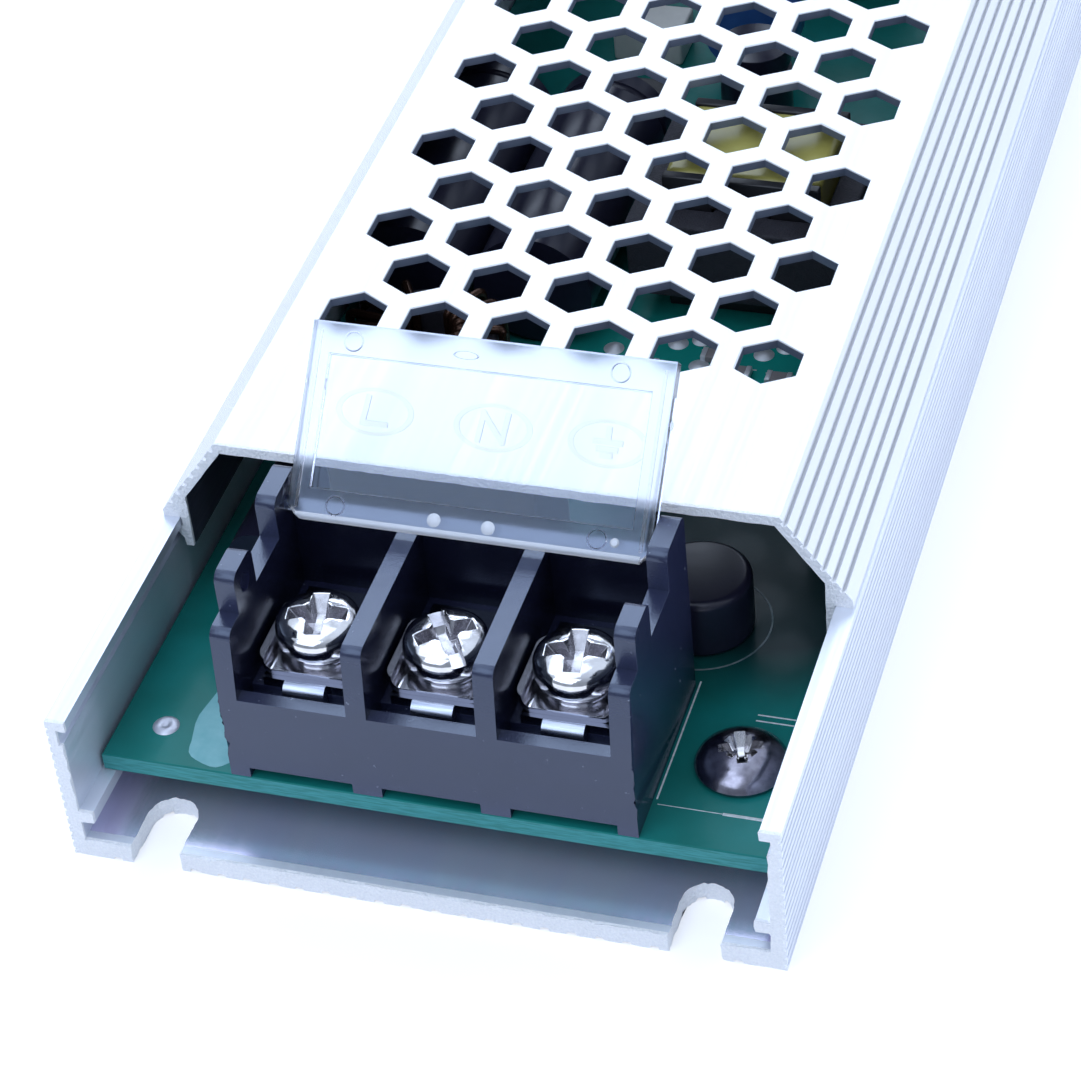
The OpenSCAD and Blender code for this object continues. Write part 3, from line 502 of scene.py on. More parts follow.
edit(channel)
divide_long_edges(channel, lambda e: sharp(e) and in_slot(middle(e)), 0.4)
choose(channel, "VERT", lambda v: in_slot(v.co) and any(sharp(e) for e in v.link_edges))
scatter(0.07, 13)
leave()
keep_in(channel, *channel_box)
sawn = paint_faces(channel, 1, lambda f: abs(f.center.y) > case_end - torn or (
    in_slot(f.center) and abs(f.normal.z) < 0.5))
# The top of the floor plate gets the brighter, bluer copy: painted light.
paint_faces(channel, 2, lambda f: f.normal.z > 0.9 and abs(f.center.z - plate_top) < flush
            and abs(f.center.y) < case_end - filed)
smooth(channel, 30)
install(channel, "case_aluminium", "base_channel")
print("channel:", len(channel.data.polygons), "faces,", sawn, "of them sawn")

# %% [markdown]
# ## The vented cover
# The cover is a second extrusion with ribs down both slopes and a field of punched hexagons. A punch leaves the
# rim slightly rounded on the side it enters, so only those upper rims are bevelled. The walls of the vents and the
# inside of the cover are painted darker than the skin, as painted shade. The ends are sawn as well.

# %% Round the vents and saw the cover
cover = copy_of("top_cover")
cover_low, cover_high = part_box("top_cover")
vent_field, vent_end, leg_x = 19.5 * mm, cover_high.y - mm, 22 * mm


def among_vents(place):
    """Whether a place is in the flat field that the vents are punched in."""
    return abs(place.x) < vent_field and abs(place.y) < vent_end


def vent_rim(edge):
    """An edge of a vent in the top face."""
    return (sharp(edge) and among_vents(middle(edge))
            and all(abs(v.co.z - cover_high.z) < touching for v in edge.verts))


print("vent rims rounded:", round_edges(cover, 0.14, vent_rim))
for end, seed in ((cover_low.y, 21), (cover_high.y, 22)):
    tear_end(cover, end, 0.25, 0.8, 0.07, seed)
keep_in(cover, cover_low, cover_high)
paint(cover, cover_metal, sawn_metal, shaded_inside_metal, shaded_vent_metal)
# The underside and the inner faces of the legs get the dark copy: painted shade.
paint_faces(cover, 2, lambda f: f.normal.z < -0.3 or (
    abs(f.center.x) > leg_x and abs(f.normal.x) > 0.5 and f.center.x * f.normal.x < 0))
# The vent walls get their dark copy: painted shade.
punched = paint_faces(cover, 3, lambda f: abs(f.normal.z) < 0.2 and among_vents(f.center))
paint_faces(cover, 1, lambda f: abs(f.center.y) > cover_high.y - 0.2 * mm)
smooth(cover, 30)
install(cover, "cover_aluminium", "top_cover")
print("cover:", len(cover.data.polygons), "faces,", punched, "of them punched")

# %% [markdown]
# ## The circuit board
# The board is green solder mask over glass laminate. The mask is glossy and a little uneven, because the copper
# under it shows as lighter fields. A large bright field under the vents is painted light, and a dark field round
# the drum, under the edge of the cover, is painted shade. The cut edge of the laminate is paler. The printed lines
# are white ink.

# %% Mix the board's finishes and dress it
mask_green = new_finish(
    "mask_green", (0.004, 0.18, 0.14), 0.32, sheen=(soft(500), 0.28, 0.40), relief=(1500, 0.004),
    tones=(soft(150, 0.25, 0.75), (0.006, 0.145, 0.122), (0.011, 0.215, 0.196)),
    Specular_IOR_Level=0.14, Coat_Weight=0.06, Coat_Roughness=0.1)
# A bright field where the vents let light onto the board: painted light.
overlay(mask_green, spot(mask_green, (4, -38, 6), 8, 13), (0.012, 0.33, 0.28))
# A dark field round the drum, under the cover's edge: painted shade.
overlay(mask_green, spot(mask_green, (18, -60, 6), 10, 17), (0.006, 0.030, 0.034))
laminate = new_finish("laminate_edge", (0.03, 0.26, 0.25), 0.6,
                      tones=((700, 700, 9000), (0.022, 0.22, 0.20), (0.05, 0.32, 0.32)))

board = copy_of("circuit_board")
long_edge = 20 * mm
round_edges(board, 0.12, lambda e: sharp(e) and e.calc_length() > long_edge)
paint(board, mask_green, laminate)
paint_faces(board, 1, lambda f: abs(f.normal.z) < 0.4)
smooth(board, 30)
install(board, "board_green", "circuit_board")
board_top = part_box("circuit_board")[1].z
board_z = board_top / mm
print("board top at", round(board_z, 2), "mm")

# %% [markdown]
# ## Turned pieces
# Screws, solder points, rings and cans are all round. Half of the section is drawn as a chain of points, each
# extruded from the last, and the chain is spun about an upright axis: that is how a lathe would make them.

# %% A small lathe
def turned(name, section, place, steps=48):
    """Draws half a section from points of radius and height, in mm, and spins it about an upright axis."""
    centre = Vector(place)
    piece = added(bpy.ops.mesh.primitive_plane_add, name, size=mm, location=centre)
    settle(piece)
    edit(piece)
    bpy.ops.mesh.select_mode(type="VERT")
    bpy.ops.mesh.select_all(action="SELECT")
    bpy.ops.mesh.merge(type="CENTER")
    bpy.ops.transform.translate(value=(section[0][0] * mm, 0, section[0][1] * mm))
    for (r0, z0), (r1, z1) in zip(section, section[1:]):
        bpy.ops.mesh.extrude_vertices_move(TRANSFORM_OT_translate={"value": ((r1 - r0) * mm, 0, (z1 - z0) * mm)})
    bpy.ops.mesh.select_all(action="SELECT")
    bpy.ops.mesh.spin(steps=steps, angle=math.tau, center=centre, axis=(0, 0, 1))
    leave()
    face_outwards(piece)
    return piece


def joined(name, pieces):
    """Joins several pieces into one."""
    pick(pieces[0])
    for piece in pieces[1:]:
        piece.select_set(True)
    bpy.ops.object.join()
    pieces[0].name = name
    return pieces[0]


def bar(name, low, high, rounding=0.0):
    """A straight block between two corners in mm, with its edges rounded if asked."""
    low, high = Vector(low) * mm, Vector(high) * mm
    piece = added(bpy.ops.mesh.primitive_cube_add, name, size=1, location=(low + high) / 2)
    piece.scale = high - low
    settle(piece)
    if rounding:
        round_edges(piece, rounding)
    return piece


print("lathe ready")

# %% Print the white lines and fill the test hole
ink = new_finish("white_ink", (0.80, 0.82, 0.84), 0.7, (3000, (0.62, 0.70, 0.70), (0.86, 0.88, 0.90)))
# The same white ink painted darker, where it lies in shade under the cover.
shaded_ink = new_finish("shaded_ink", (0.20, 0.25, 0.27), 0.7, (1200, (0.12, 0.18, 0.19), (0.28, 0.33, 0.35)))
ink_t = 0.03
drum_at = Vector((13.7 * mm, -68.1 * mm, board_top))


def ink_line(x0, y0, x1, y1):
    """A printed line on the board between two corners, in mm."""
    return bar("ink_line", (x0, y0, board_z), (x1, y1, board_z + ink_t), 0.01)


board_print = joined("board_print", [
    ink_line(15.27, -86.6, 15.40, -74.4),  # the side of the block
    ink_line(15.5, -87.1, 23.6, -87.04),  # its front
    ink_line(20.2, -87.2, 23.8, -86.95),  # a corner of the front
    ink_line(20.2, -77.0, 23.0, -76.88),  # two sides of a small part
    ink_line(20.2, -77.6, 23.0, -77.48),
    turned("drum_outline", [(5.2, 0), (5.2, ink_t), (5.33, ink_t), (5.33, 0), (5.2, 0)], drum_at, 64),
])
paint(board_print, ink, shaded_ink)
# The print round the drum gets the darker ink: painted shade.
paint_faces(board_print, 1, lambda f: (f.center - drum_at).length < 6 * mm)
smooth(board_print)
install(board_print, "board_green")

solder = new_finish("solder", (0.58, 0.59, 0.66), 0.45, None, (2500, 0.38, 0.55), (1800, 0.02), Metallic=0.7)
joint = [(0, 0.04), (0.14, 0.04), (0.3, 0.14), (0.6, 0.17), (0.85, 0.12), (1.0, 0.0), (0, 0.0)]
test_point = turned("test_point", joint, (-21.6 * mm, -86.8 * mm, board_top), 32)
dress(test_point, solder, "plated_contact", degrees=60)
print("print and test point on the board")

# %% Lay a pale cyan film beside the block
pale_cyan_coat = new_finish("pale_cyan_coat", (0.13, 0.40, 0.43), 0.3, Specular_IOR_Level=0.3,
                        tones=(soft(900), (0.11, 0.37, 0.40), (0.19, 0.46, 0.49)))
film_t = 0.015 * mm
film = added(bpy.ops.mesh.primitive_circle_add, "pale_film_patch", vertices=36, radius=mm, fill_type="NGON")
film.scale = (2.6, 5.2, 1)
film.location = (-17.0 * mm, -85.1 * mm, board_top)
settle(film)
edit(film)
choose(film, "VERT", lambda v: v.co.x < -16.6 * mm)
scatter(0.9, 41, 0.1)
choose(film, "VERT", lambda v: True)
bpy.ops.mesh.vertices_smooth(factor=0.5, repeat=2)
bpy.ops.transform.resize(value=(1, 1, 0), center_override=(0, 0, board_top))
choose(film, "FACE", lambda f: True)
bpy.ops.mesh.extrude_region_move(TRANSFORM_OT_translate={"value": (0, 0, film_t)})
leave()
keep_in(film, Vector((-21 * mm, -90.2 * mm, board_top)), Vector((-15.2 * mm, -79 * mm, board_top + film_t)))
face_outwards(film)
dress(film, pale_cyan_coat, "board_green")
print("pale film patch:", len(film.data.polygons), "faces")

# %% [markdown]
# ## The terminal blocks
# The blocks are moulded in black plastic with a satin face and sharp but not knife-like edges. Rounding the edges
# lets each barrier catch a thin line of light, as the real ones do. The upright front corners were chewed when the
# block was broken off its strip, so they are divided and scattered before the rounding. The bays between the
# barriers come from polished cores of the mould, so their walls are smoother than the outside; they are also
# painted darker, as painted shade.

# %% Mould the blocks
cool_gloss = (0.68, 0.80, 1.0, 1)
black_moulding = new_finish(
    "black_moulding", (0.015, 0.017, 0.046), 0.28, sheen=(soft(800), 0.21, 0.27), relief=(6000, 0.004),
    tones=(soft(420), (0.014, 0.016, 0.042), (0.018, 0.020, 0.053)), Specular_IOR_Level=1.0, Specular_Tint=cool_gloss)
overlay(black_moulding, grain(black_moulding, soft(2400, 0.70, 0.76)), (0.22, 0.24, 0.30))
# The bays' walls are painted darker than the outside: painted shade.
shaded_bay_moulding = new_finish(
    "shaded_bay_moulding", (0.007, 0.008, 0.020), 0.2, sheen=(soft(800), 0.15, 0.22), relief=(6000, 0.002),
    Specular_IOR_Level=0.5, Specular_Tint=cool_gloss)


def block_edge(edge):
    """An outer edge of a block, not one in a hole."""
    return sharp(edge) and edge.calc_length() > 0.12 * mm and edge.is_convex


bay_floor, bay_wall, whole_foot, whole_top = 12.6 * mm, 1.4 * mm, 2 * mm, 4 * mm
for side in ("input", "output"):
    node = side + "_terminal_block"
    block = copy_of(node)
    block_low, block_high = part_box(node)
    block_front = block_low.y if side == "input" else block_high.y
    edit(block)
    for corner_x, seed in ((block_low.x, 31), (block_high.x, 32)):
        at_corner = lambda v: abs(v.co.y - block_front) < touching and abs(v.co.x - corner_x) < touching
        divide_long_edges(block, lambda e: all(at_corner(v) for v in e.verts), 0.34)
        choose(block, "VERT", lambda v: at_corner(v)
               and block_low.z + whole_foot < v.co.z < block_high.z - whole_top)
        scatter(0.36, seed)
    leave()
    keep_in(block, block_low, block_high)
    rounded = round_edges(block, 0.16, block_edge)
    paint(block, black_moulding, shaded_bay_moulding)
    # The faces inside the bays get the dark copy: painted shade.
    bays = paint_faces(block, 1, lambda f: abs(f.normal.z) < 0.5 and f.center.z > bay_floor
                       and block_low.x + bay_wall < f.center.x < block_high.x - bay_wall
                       and abs(f.center.y - block_front) > bay_wall)
    smooth(block)
    install(block, "black_plastic", node)
    print(node, "edges rounded:", rounded, "faces in the bays:", bays, "of", len(block.data.polygons))

# %% [markdown]
# ## Plated sheet parts
# Contacts, clamp washers and lock washers are stamped from sheet and nickel plated, with soft stamped edges, so
# each copy of a solid only needs its edges rounded and a polished finish. The washers and the contact tabs are
# bright; the flat top of each contact is painted dark, as painted shade.

# %% Plate the small parts
# The flat tops of the contacts are painted dark: painted shade.
shaded_contact_plating = new_finish("shaded_contact_plating", (0.15, 0.16, 0.20), 0.12, sheen=(1500, 0.08, 0.16), Metallic=1.0)
tab_plating = new_finish("brushed_tab", (0.62, 0.66, 0.75), 0.3, sheen=((400, 6000, 6000), 0.24, 0.40),
                         tones=((300, 5200, 5200), (0.36, 0.40, 0.51), (0.52, 0.56, 0.66)), Metallic=1.0)
washer_plating = new_finish("washer_plating", (0.62, 0.62, 0.68), 0.18, sheen=(1500, 0.15, 0.22), Metallic=1.0)
nickel = new_finish("nickel", (0.78, 0.77, 0.78), 0.12, (900, (0.68, 0.67, 0.69), (0.83, 0.82, 0.83)),
                    (1800, 0.06, 0.17), (1100, 0.006), Metallic=1.0)
# Rougher nickel for the recesses, painted darker as painted shade.
shaded_recess_nickel = new_finish("shaded_recess_nickel", (0.50, 0.49, 0.52), 0.25, sheen=(1800, 0.18, 0.32), Metallic=1.0)

# Each pole's place across the case in mm, and the turn of the recess in its screw.
poles = {("input", 1): (-9.5, 10), ("input", 2): (0.0, 35), ("input", 3): (9.5, 8), ("output", 1): (15.45, 22),
         ("output", 2): (5.95, 68), ("output", 3): (-3.55, 8), ("output", 4): (-13.05, 40)}
tab_half, tab_depth = 1.6 * mm, 0.79 * mm
for side in ("input", "output"):
    node = side + "_contacts"
    contacts = copy_of(node)
    contact_low, contact_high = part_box(node)
    front, tab_y = (-1, contact_low.y) if side == "input" else (1, contact_high.y)
    round_edges(contacts, 0.35, lambda e: (  # the fold from the plate into the tab
        sharp(e) and e.calc_length() > 2 * mm and middle(e).z > 12 * mm
        and any(f.normal.y * front > 0.7 for f in e.link_faces) and any(f.normal.z > 0.7 for f in e.link_faces)), 5)
    round_edges(contacts, 0.08, lambda e: sharp(e) and e.calc_length() > 0.5 * mm)
    # The contacts' plates get the dark copy and their tabs the bright brushed one; the dark is painted shade.
    paint(contacts, shaded_contact_plating, tab_plating)
    paint_faces(contacts, 1, lambda f: abs(f.center.y - tab_y) < tab_depth and f.center.z > board_top
                and any(abs(f.center.x - x * mm) < tab_half for (end, i), (x, turn) in poles.items() if end == side))
    smooth(contacts)
    install(contacts, "plated_contact", node)
for side, i in poles:
    for kind, width, finish in (("clamp", 0.2, washer_plating), ("lock", 0.14, nickel)):
        node = f"{side}_{kind}_washer_{i}"
        washer = copy_of(node)
        round_edges(washer, width, sharp, 4)
        dress(washer, finish, "plated_washer", node, body=f"{side}_{i}_clamp")
print("plated:", 2 + 2 * len(poles), "pieces")

# %% [markdown]
# ## The terminal screws
# Each screw has a pan head with a barrel-shaped side, and a wide cross recess pressed by a punch that tapers.
# Each pole's screw is turned on the lathe; the punch is a small cube with four arms extruded from its
# sides and its underside drawn in, and a Boolean presses it into the head.

# %% Make the punch
def punch(place, arm, width, depth, taper, turn):
    """A tapered cross, standing point down, whose top is a little above the place."""
    spare = 0.6
    cross = added(bpy.ops.mesh.primitive_cube_add, "punch", size=1)
    cross.scale = Vector((width, width, depth + spare)) * mm
    cross.location = Vector((0, 0, (spare - depth) / 2)) * mm
    settle(cross)
    edit(cross)
    for x, y in ((1, 0), (-1, 0), (0, 1), (0, -1)):
        side = Vector((x, y, 0))
        choose(cross, "FACE", lambda f: f.normal.dot(side) > 0.9
               and (f.calc_center_median() - f.calc_center_median().dot(side) * side).xy.length < 0.1 * mm)
        bpy.ops.mesh.extrude_region_move(TRANSFORM_OT_translate={"value": side * (arm - width / 2) * mm})
    choose(cross, "VERT", lambda v: v.co.z < -depth * mm * 0.9)
    bpy.ops.transform.resize(value=(taper, taper, 1), center_override=(0, 0, 0))
    leave()
    cross.rotation_euler.z = math.radians(turn)
    cross.location = place
    settle(cross)
    return cross


def press(piece, tool):
    """Cuts a tool's shape out of a piece and takes the tool away."""
    apply_modifier(piece, "BOOLEAN", operation="DIFFERENCE", object=tool, solver="EXACT")
    bpy.data.objects.remove(tool)


def press_crosses(screw, top, turn, *crosses):
    """Presses crosses of a given arm, width, depth and taper, each half a right angle on from the last."""
    for k, cross in enumerate(crosses):
        press(screw, punch(top, *cross, turn + 45 * k))


def paint_recess(screw, section, place, reach):
    """Gives the second finish to the faces that lie below the dome of a head, near its axis."""
    dome = section[-8:]
    least_rise, margin = 0.3, 0.06

    def below(face):
        radius, rise = (face.center - place).xy.length / mm, (face.center.z - place.z) / mm
        for (r1, z1), (r0, z0) in zip(dome, dome[1:]):
            if r0 <= radius <= r1:
                skin = z0 + (z1 - z0) * (radius - r0) / (r1 - r0)
                return radius < reach and least_rise < rise < skin - margin
        return False

    return paint_faces(screw, 1, below)


print("punch ready")

# %% Turn the screws
head_z, screw_y = 14.6, 84.0
threads = [point for k in range(11) for point in ((1.5, -5.5 + k * 0.5), (1.24, -5.25 + k * 0.5))]
screw_section = [
    (0, -6), (1.0, -6), (1.24, -5.75), *threads[:-1], (1.5, 0), (2.85, 0), (3.04, 0.14), (3.1, 0.5), (3.1, 1.0),
    (3.07, 1.38), (2.95, 1.68), (2.66, 1.92), (2.1, 2.12), (1.4, 2.27), (0.7, 2.36), (0, 2.4)]
for (side, i), (x, turn) in poles.items():
    place = Vector((x, screw_y if side == "output" else -screw_y, head_z)) * mm
    top = place + Vector((0, 0, 2.3 * mm))
    screw = turned(f"{side}_screw_{i}.turned", screw_section, place)
    press_crosses(screw, top, turn, (2.75, 1.5, 1.5, 0.45), (1.35, 0.9, 1.1, 0.5))
    apply_modifier(screw, "BEVEL", width=0.05 * mm, segments=2, limit_method="ANGLE",
                   angle_limit=math.radians(32), use_clamp_overlap=False)
    paint(screw, nickel, shaded_recess_nickel)
    if i == 2:  # the second screw of each end also has a slot
        slot = bar("slot_tool", (-0.52, -3.4, -1.0), (0.52, 3.4, 0.6))
        slot.rotation_euler.z = math.radians(turn)
        slot.location = top
        settle(slot)
        press(screw, slot)
    # The recess faces get the darker nickel: painted shade.
    paint_recess(screw, screw_section, place, 2.72)
    smooth(screw, 35)
    install(screw, "nickel_screw", f"{side}_screw_{i}", body=f"{side}_{i}_screw")
print("screws:", len(poles))

# %% [markdown]
# ## The board screws
# The two screws that hold the board are larger, domed and blackened. The driver has rubbed the black off inside
# the recess, so those faces get a bright finish of their own.

# %% Turn the board screws
blackened = new_finish("blackened_steel", (0.27, 0.26, 0.32), 0.22, (1600, (0.23, 0.22, 0.27), (0.33, 0.32, 0.38)),
                       (1300, 0.14, 0.26), Metallic=1.0)
board_screw_section = [
    (0, -4.0), (1.1, -4.0), (1.4, -3.7), (1.4, -0.1), (1.5, 0), (3.1, 0), (3.35, 0.12), (3.4, 0.35),
    (3.2, 0.75), (2.8, 1.15), (2.2, 1.56), (1.5, 1.82), (0.8, 1.96), (0, 2.0)]
heads = []
for x, y, turn in ((20.325, -82.1, 18), (-20.7, 65.0, 50)):
    place = Vector((x * mm, y * mm, board_top))
    screw = turned("board_screw", board_screw_section, place)
    paint(screw, blackened, nickel)
    top = place + Vector((0, 0, 1.9 * mm))
    press_crosses(screw, top, turn, (2.05, 1.0, 1.35, 0.4), (1.7, 0.8, 0.95, 0.45))
    print("board screw: rubbed faces", paint_recess(screw, board_screw_section, place, 2.1))
    heads.append(screw)
board_screws = joined("board_screws.turned", heads)
smooth(board_screws, 35)
install(board_screws, "black_screw", "board_screws")

# %% [markdown]
# ## The clear flip lids
# A lid is a thin moulded plate with a recessed panel, a pin at each end of its hinge edge and a bump on each side
# that clicks into the front ears. It is modelled flat about its hinge and then turned to its place: the input lid
# lies back, open, and the output lid is closed. Raised marks are joined by a Boolean so that light meets one skin.

# %% Mould a lid
clear = {"Transmission_Weight": 1.0, "IOR": 1.47}
lid_gloss = (0.62, 0.76, 1.0, 1)
clear_moulding = new_finish("clear_moulding", (0.86, 0.91, 1.0), 0.05, Specular_Tint=lid_gloss, **clear)
raised_marks = new_finish("raised_marks", (0.74, 0.76, 0.88), 0.25, **clear)
frosted_rim = new_finish("frosted_rim", (0.88, 0.92, 1.0), 0.3, Specular_Tint=lid_gloss, **clear)
lid_edges = new_finish("lid_edges", (0.55, 0.63, 0.86), 0.12, **clear)
# White on the hinge edge and the pips stands for the light they catch: painted light.
lit_hinge_edge = new_finish("lit_hinge_edge", (0.93, 0.95, 1.0), 0.4, Transmission_Weight=0.35, IOR=1.47)
lid_t, lid_reach, lid_tail, rim_side, rim_end, lid_recess = 1.2, 13.1, 1.1, 1.5, 2.3, 0.4


def lid_plate(name, width):
    """The plate with its panel let into the side that faces the terminals."""
    half = width / 2
    plate = bar(name, (-half, -lid_reach, -lid_t / 2), (half, lid_tail, lid_t / 2))
    edit(plate)
    choose(plate, "FACE", lambda f: f.normal.z < -0.9)
    bpy.ops.mesh.inset(thickness=rim_side * mm)
    for end, way in ((-lid_reach + rim_side, 1), (lid_tail - rim_side, -1)):
        choose(plate, "VERT", lambda v: abs(v.co.y - end * mm) < touching and abs(v.co.x) < (half - 1) * mm)
        bpy.ops.transform.translate(value=(0, way * (rim_end - rim_side) * mm, 0))
    choose(plate, "FACE", lambda f: f.normal.z < -0.9 and f.calc_area() > 100 * mm * mm)
    bpy.ops.mesh.extrude_region_move(TRANSFORM_OT_translate={"value": (0, 0, lid_recess * mm)})
    choose(plate, "EDGE", lambda e: abs(e.verts[0].co.z - e.verts[1].co.z) > 1 * mm and middle(e).y > 0)
    bpy.ops.mesh.bevel(offset=0.9 * mm, segments=1, affect="EDGES")
    choose(plate, "EDGE", lambda e: all(abs(v.co.y - lid_tail * mm) < touching and v.co.z < 0 for v in e.verts))
    bpy.ops.mesh.bevel(offset=0.5 * mm, segments=3, affect="EDGES")
    leave()
    round_edges(plate, 0.12)
    return plate


def lid_fittings(width):
    """The hinge pins and the bumps that click."""
    fittings = []
    for way in (-1, 1):
        pin = turned("pin", [(0, -1.4), (0.6, -1.4), (0.6, 0.95), (0.5, 1.12), (0, 1.12)], (0, 0, 0), 24)
        bump = turned("bump", [(0, -0.3), (0.6, -0.3), (0.52, 0.0), (0.3, 0.12), (0, 0.15)], (0, 0, 0), 24)
        for fitting, y in ((pin, 0), (bump, -8.7)):
            fitting.rotation_euler.y = way * math.pi / 2
            fitting.location = Vector((way * width / 2, y, 0)) * mm
            settle(fitting)
            fittings.append(fitting)
    return fittings


print("a lid is", lid_t, "mm thick and reaches", lid_reach, "mm from its hinge")

# %% Emboss the marks
face_z = -lid_t / 2
panel_z = face_z + lid_recess
marks_from = 13.4  # half the width of the input lid
rooted = 0.15  # how far a raised shape reaches into the plate


def on_lid(x, up, surface):
    """A place in mm on a lid, given to the right of the input lid's left edge and up from its lower edge."""
    return Vector((x - marks_from, lid_tail - up, surface))


def stroke(start, end, width=0.4, rise=0.14, surface=panel_z):
    """A raised stroke between two places on the lid."""
    a, b = on_lid(*start, surface), on_lid(*end, surface)
    line = b - a
    mark = bar("stroke", (-width / 2, -width / 2, -rise), (line.length + width / 2, width / 2, rooted), 0.04)
    mark.rotation_euler.z = math.atan2(line.y, line.x)
    mark.location = a * mm
    settle(mark)
    return mark


def ring(x, up, radius, tall, thick, surface, rise=0.1):
    """A raised ring, drawn out to an oval if it isn't as tall as it is wide."""
    made = turned("ring", [(radius - thick, rooted), (radius - thick, -rise * 0.6), (radius - thick / 2, -rise),
                           (radius, -rise * 0.6), (radius, rooted), (radius - thick, rooted)], (0, 0, 0), 40)
    made.scale.y = tall / (2 * radius)
    made.location = on_lid(x, up, surface) * mm
    settle(made)
    return made


def pip(x, up, radius, surface):
    """A small raised dot."""
    return turned("pip", [(0, rooted), (radius, rooted), (radius, -0.04), (radius * 0.7, -0.16), (0, -0.22)],
                  on_lid(x, up, surface) * mm, 20)


def weld(lid, extras):
    """Joins raised shapes to a lid as one skin."""
    shapes = joined("raised", extras)
    face_outwards(shapes)
    apply_modifier(lid, "BOOLEAN", operation="UNION", object=shapes, solver="EXACT", use_self=True)
    bpy.data.objects.remove(shapes)


def letter_marks():
    """The plain line, neutral and earth marks in their rings."""
    marks = [ring(x, up, 2.9, 3.4, 0.4, panel_z) for x, up in ((5.4, 8.2), (14.2, 8.1), (22.6, 8.0))]
    for strokes, (x, up) in (
        ([((-0.7, 0.95), (-0.9, -0.85)), ((-0.9, -0.85), (0.8, -0.85))], (5.5, 8.2)),
        ([((-1.0, -0.95), (-0.8, 0.95)), ((-0.8, 0.95), (0.8, -0.95)), ((0.8, -0.95), (1.0, 0.95))], (14.2, 8.1)),
        ([((0, 1.0), (0, 0.1)), ((-0.9, 0.1), (0.9, 0.1)), ((-0.6, -0.4), (0.6, -0.4)),
          ((-0.25, -0.85), (0.25, -0.85))], (22.6, 8.0)),
    ):
        marks += [stroke((x + a[0], up + a[1]), (x + b[0], up + b[1])) for a, b in strokes]
    return marks


print("marks ready, on a panel at", round(panel_z, 2), "mm")

# %% Hang the lids
for side, width, turn, hinge, marks in (
    ("input", 26.8, (math.radians(-135), 0, 0), (0, -77.25, 20.75), True),
    ("output", 36.3, (0, 0, math.pi), (1.2, 77.25, 20.75), False),
):
    lid = lid_plate(f"{side}_lid.moulded", width)
    extras = lid_fittings(width)
    half, right = width / 2, width - 3.9
    for x, up in ((3.6, 1.2), (right, 1.3), (right, 13.0), (3.2, 12.95)):
        extras.append(ring(x, up, 0.75, 1.5, 0.14, face_z, 0.06))
    pips = ((11.0, 1.1, 0.5), (15.0, 1.05, 0.5), (width - 2.6, 1.2, 0.34))
    extras += [pip(x, up, r, face_z) for x, up, r in pips]
    for x in (0.7 - half + marks_from, half - 0.7 + marks_from):
        extras.append(stroke((x, 0.9), (x, 13.4), 0.26, 0.1, face_z))
    extras.append(ring(11.6, 12.9, 0.95, 0.6, 0.14, face_z, 0.08))
    if marks:
        extras += letter_marks()
    weld(lid, extras)

    margin = 0.3
    panel_x = (half - rim_side - margin) * mm
    panel_low, panel_high = (rim_end + margin - lid_reach) * mm, (lid_tail - rim_end - margin) * mm
    on_panel = lambda f: abs(f.center.x) <= panel_x and panel_low <= f.center.y <= panel_high
    proud = lambda f, surface: f.center.z < surface * mm - touching
    paint(lid, clear_moulding, raised_marks, lid_edges, lit_hinge_edge, frosted_rim)
    paint_faces(lid, 4, lambda f: f.normal.z < -0.95 and abs(f.center.z - face_z * mm) < touching)
    paint_faces(lid, 2, lambda f: abs(f.normal.z) < 0.95 and not on_panel(f))
    paint_faces(lid, 1, lambda f: proud(f, face_z) or (proud(f, panel_z) and on_panel(f)))
    # The hinge edge and the small pips get the white: painted light.
    paint_faces(lid, 3, lambda f: f.center.y > (lid_tail - 0.5) * mm and f.normal.y > 0.2 or any(
        (f.center.xy - on_lid(x, up, face_z).xy * mm).length < 0.6 * mm and proud(f, face_z) for x, up, r in pips))
    lid.rotation_euler = turn
    lid.location = Vector(hinge) * mm
    settle(lid)
    smooth(lid, 35)
    install(lid, "clear_plastic", side + "_lid", body=side + "_lid")
    print(lid.name, len(lid.data.polygons), "faces")

# %% [markdown]
# ## Parts under the cover
# Little of these shows, but the vents let light in, so each solid gets its rounded edges and its real finish:
# coated boxes, shrink sleeves, moulded packages, ferrite and steel.

# %% Dress the inner parts
def coated(name, colour, other, roughness, scale=700, bump=0.002, **values):
    """A coated or moulded surface with a faint mottle."""
    return new_finish(name, colour, roughness, (soft(scale), colour, other),
                      (soft(scale * 2), roughness * 0.9, roughness * 1.1), (scale * 4, bump), **values)


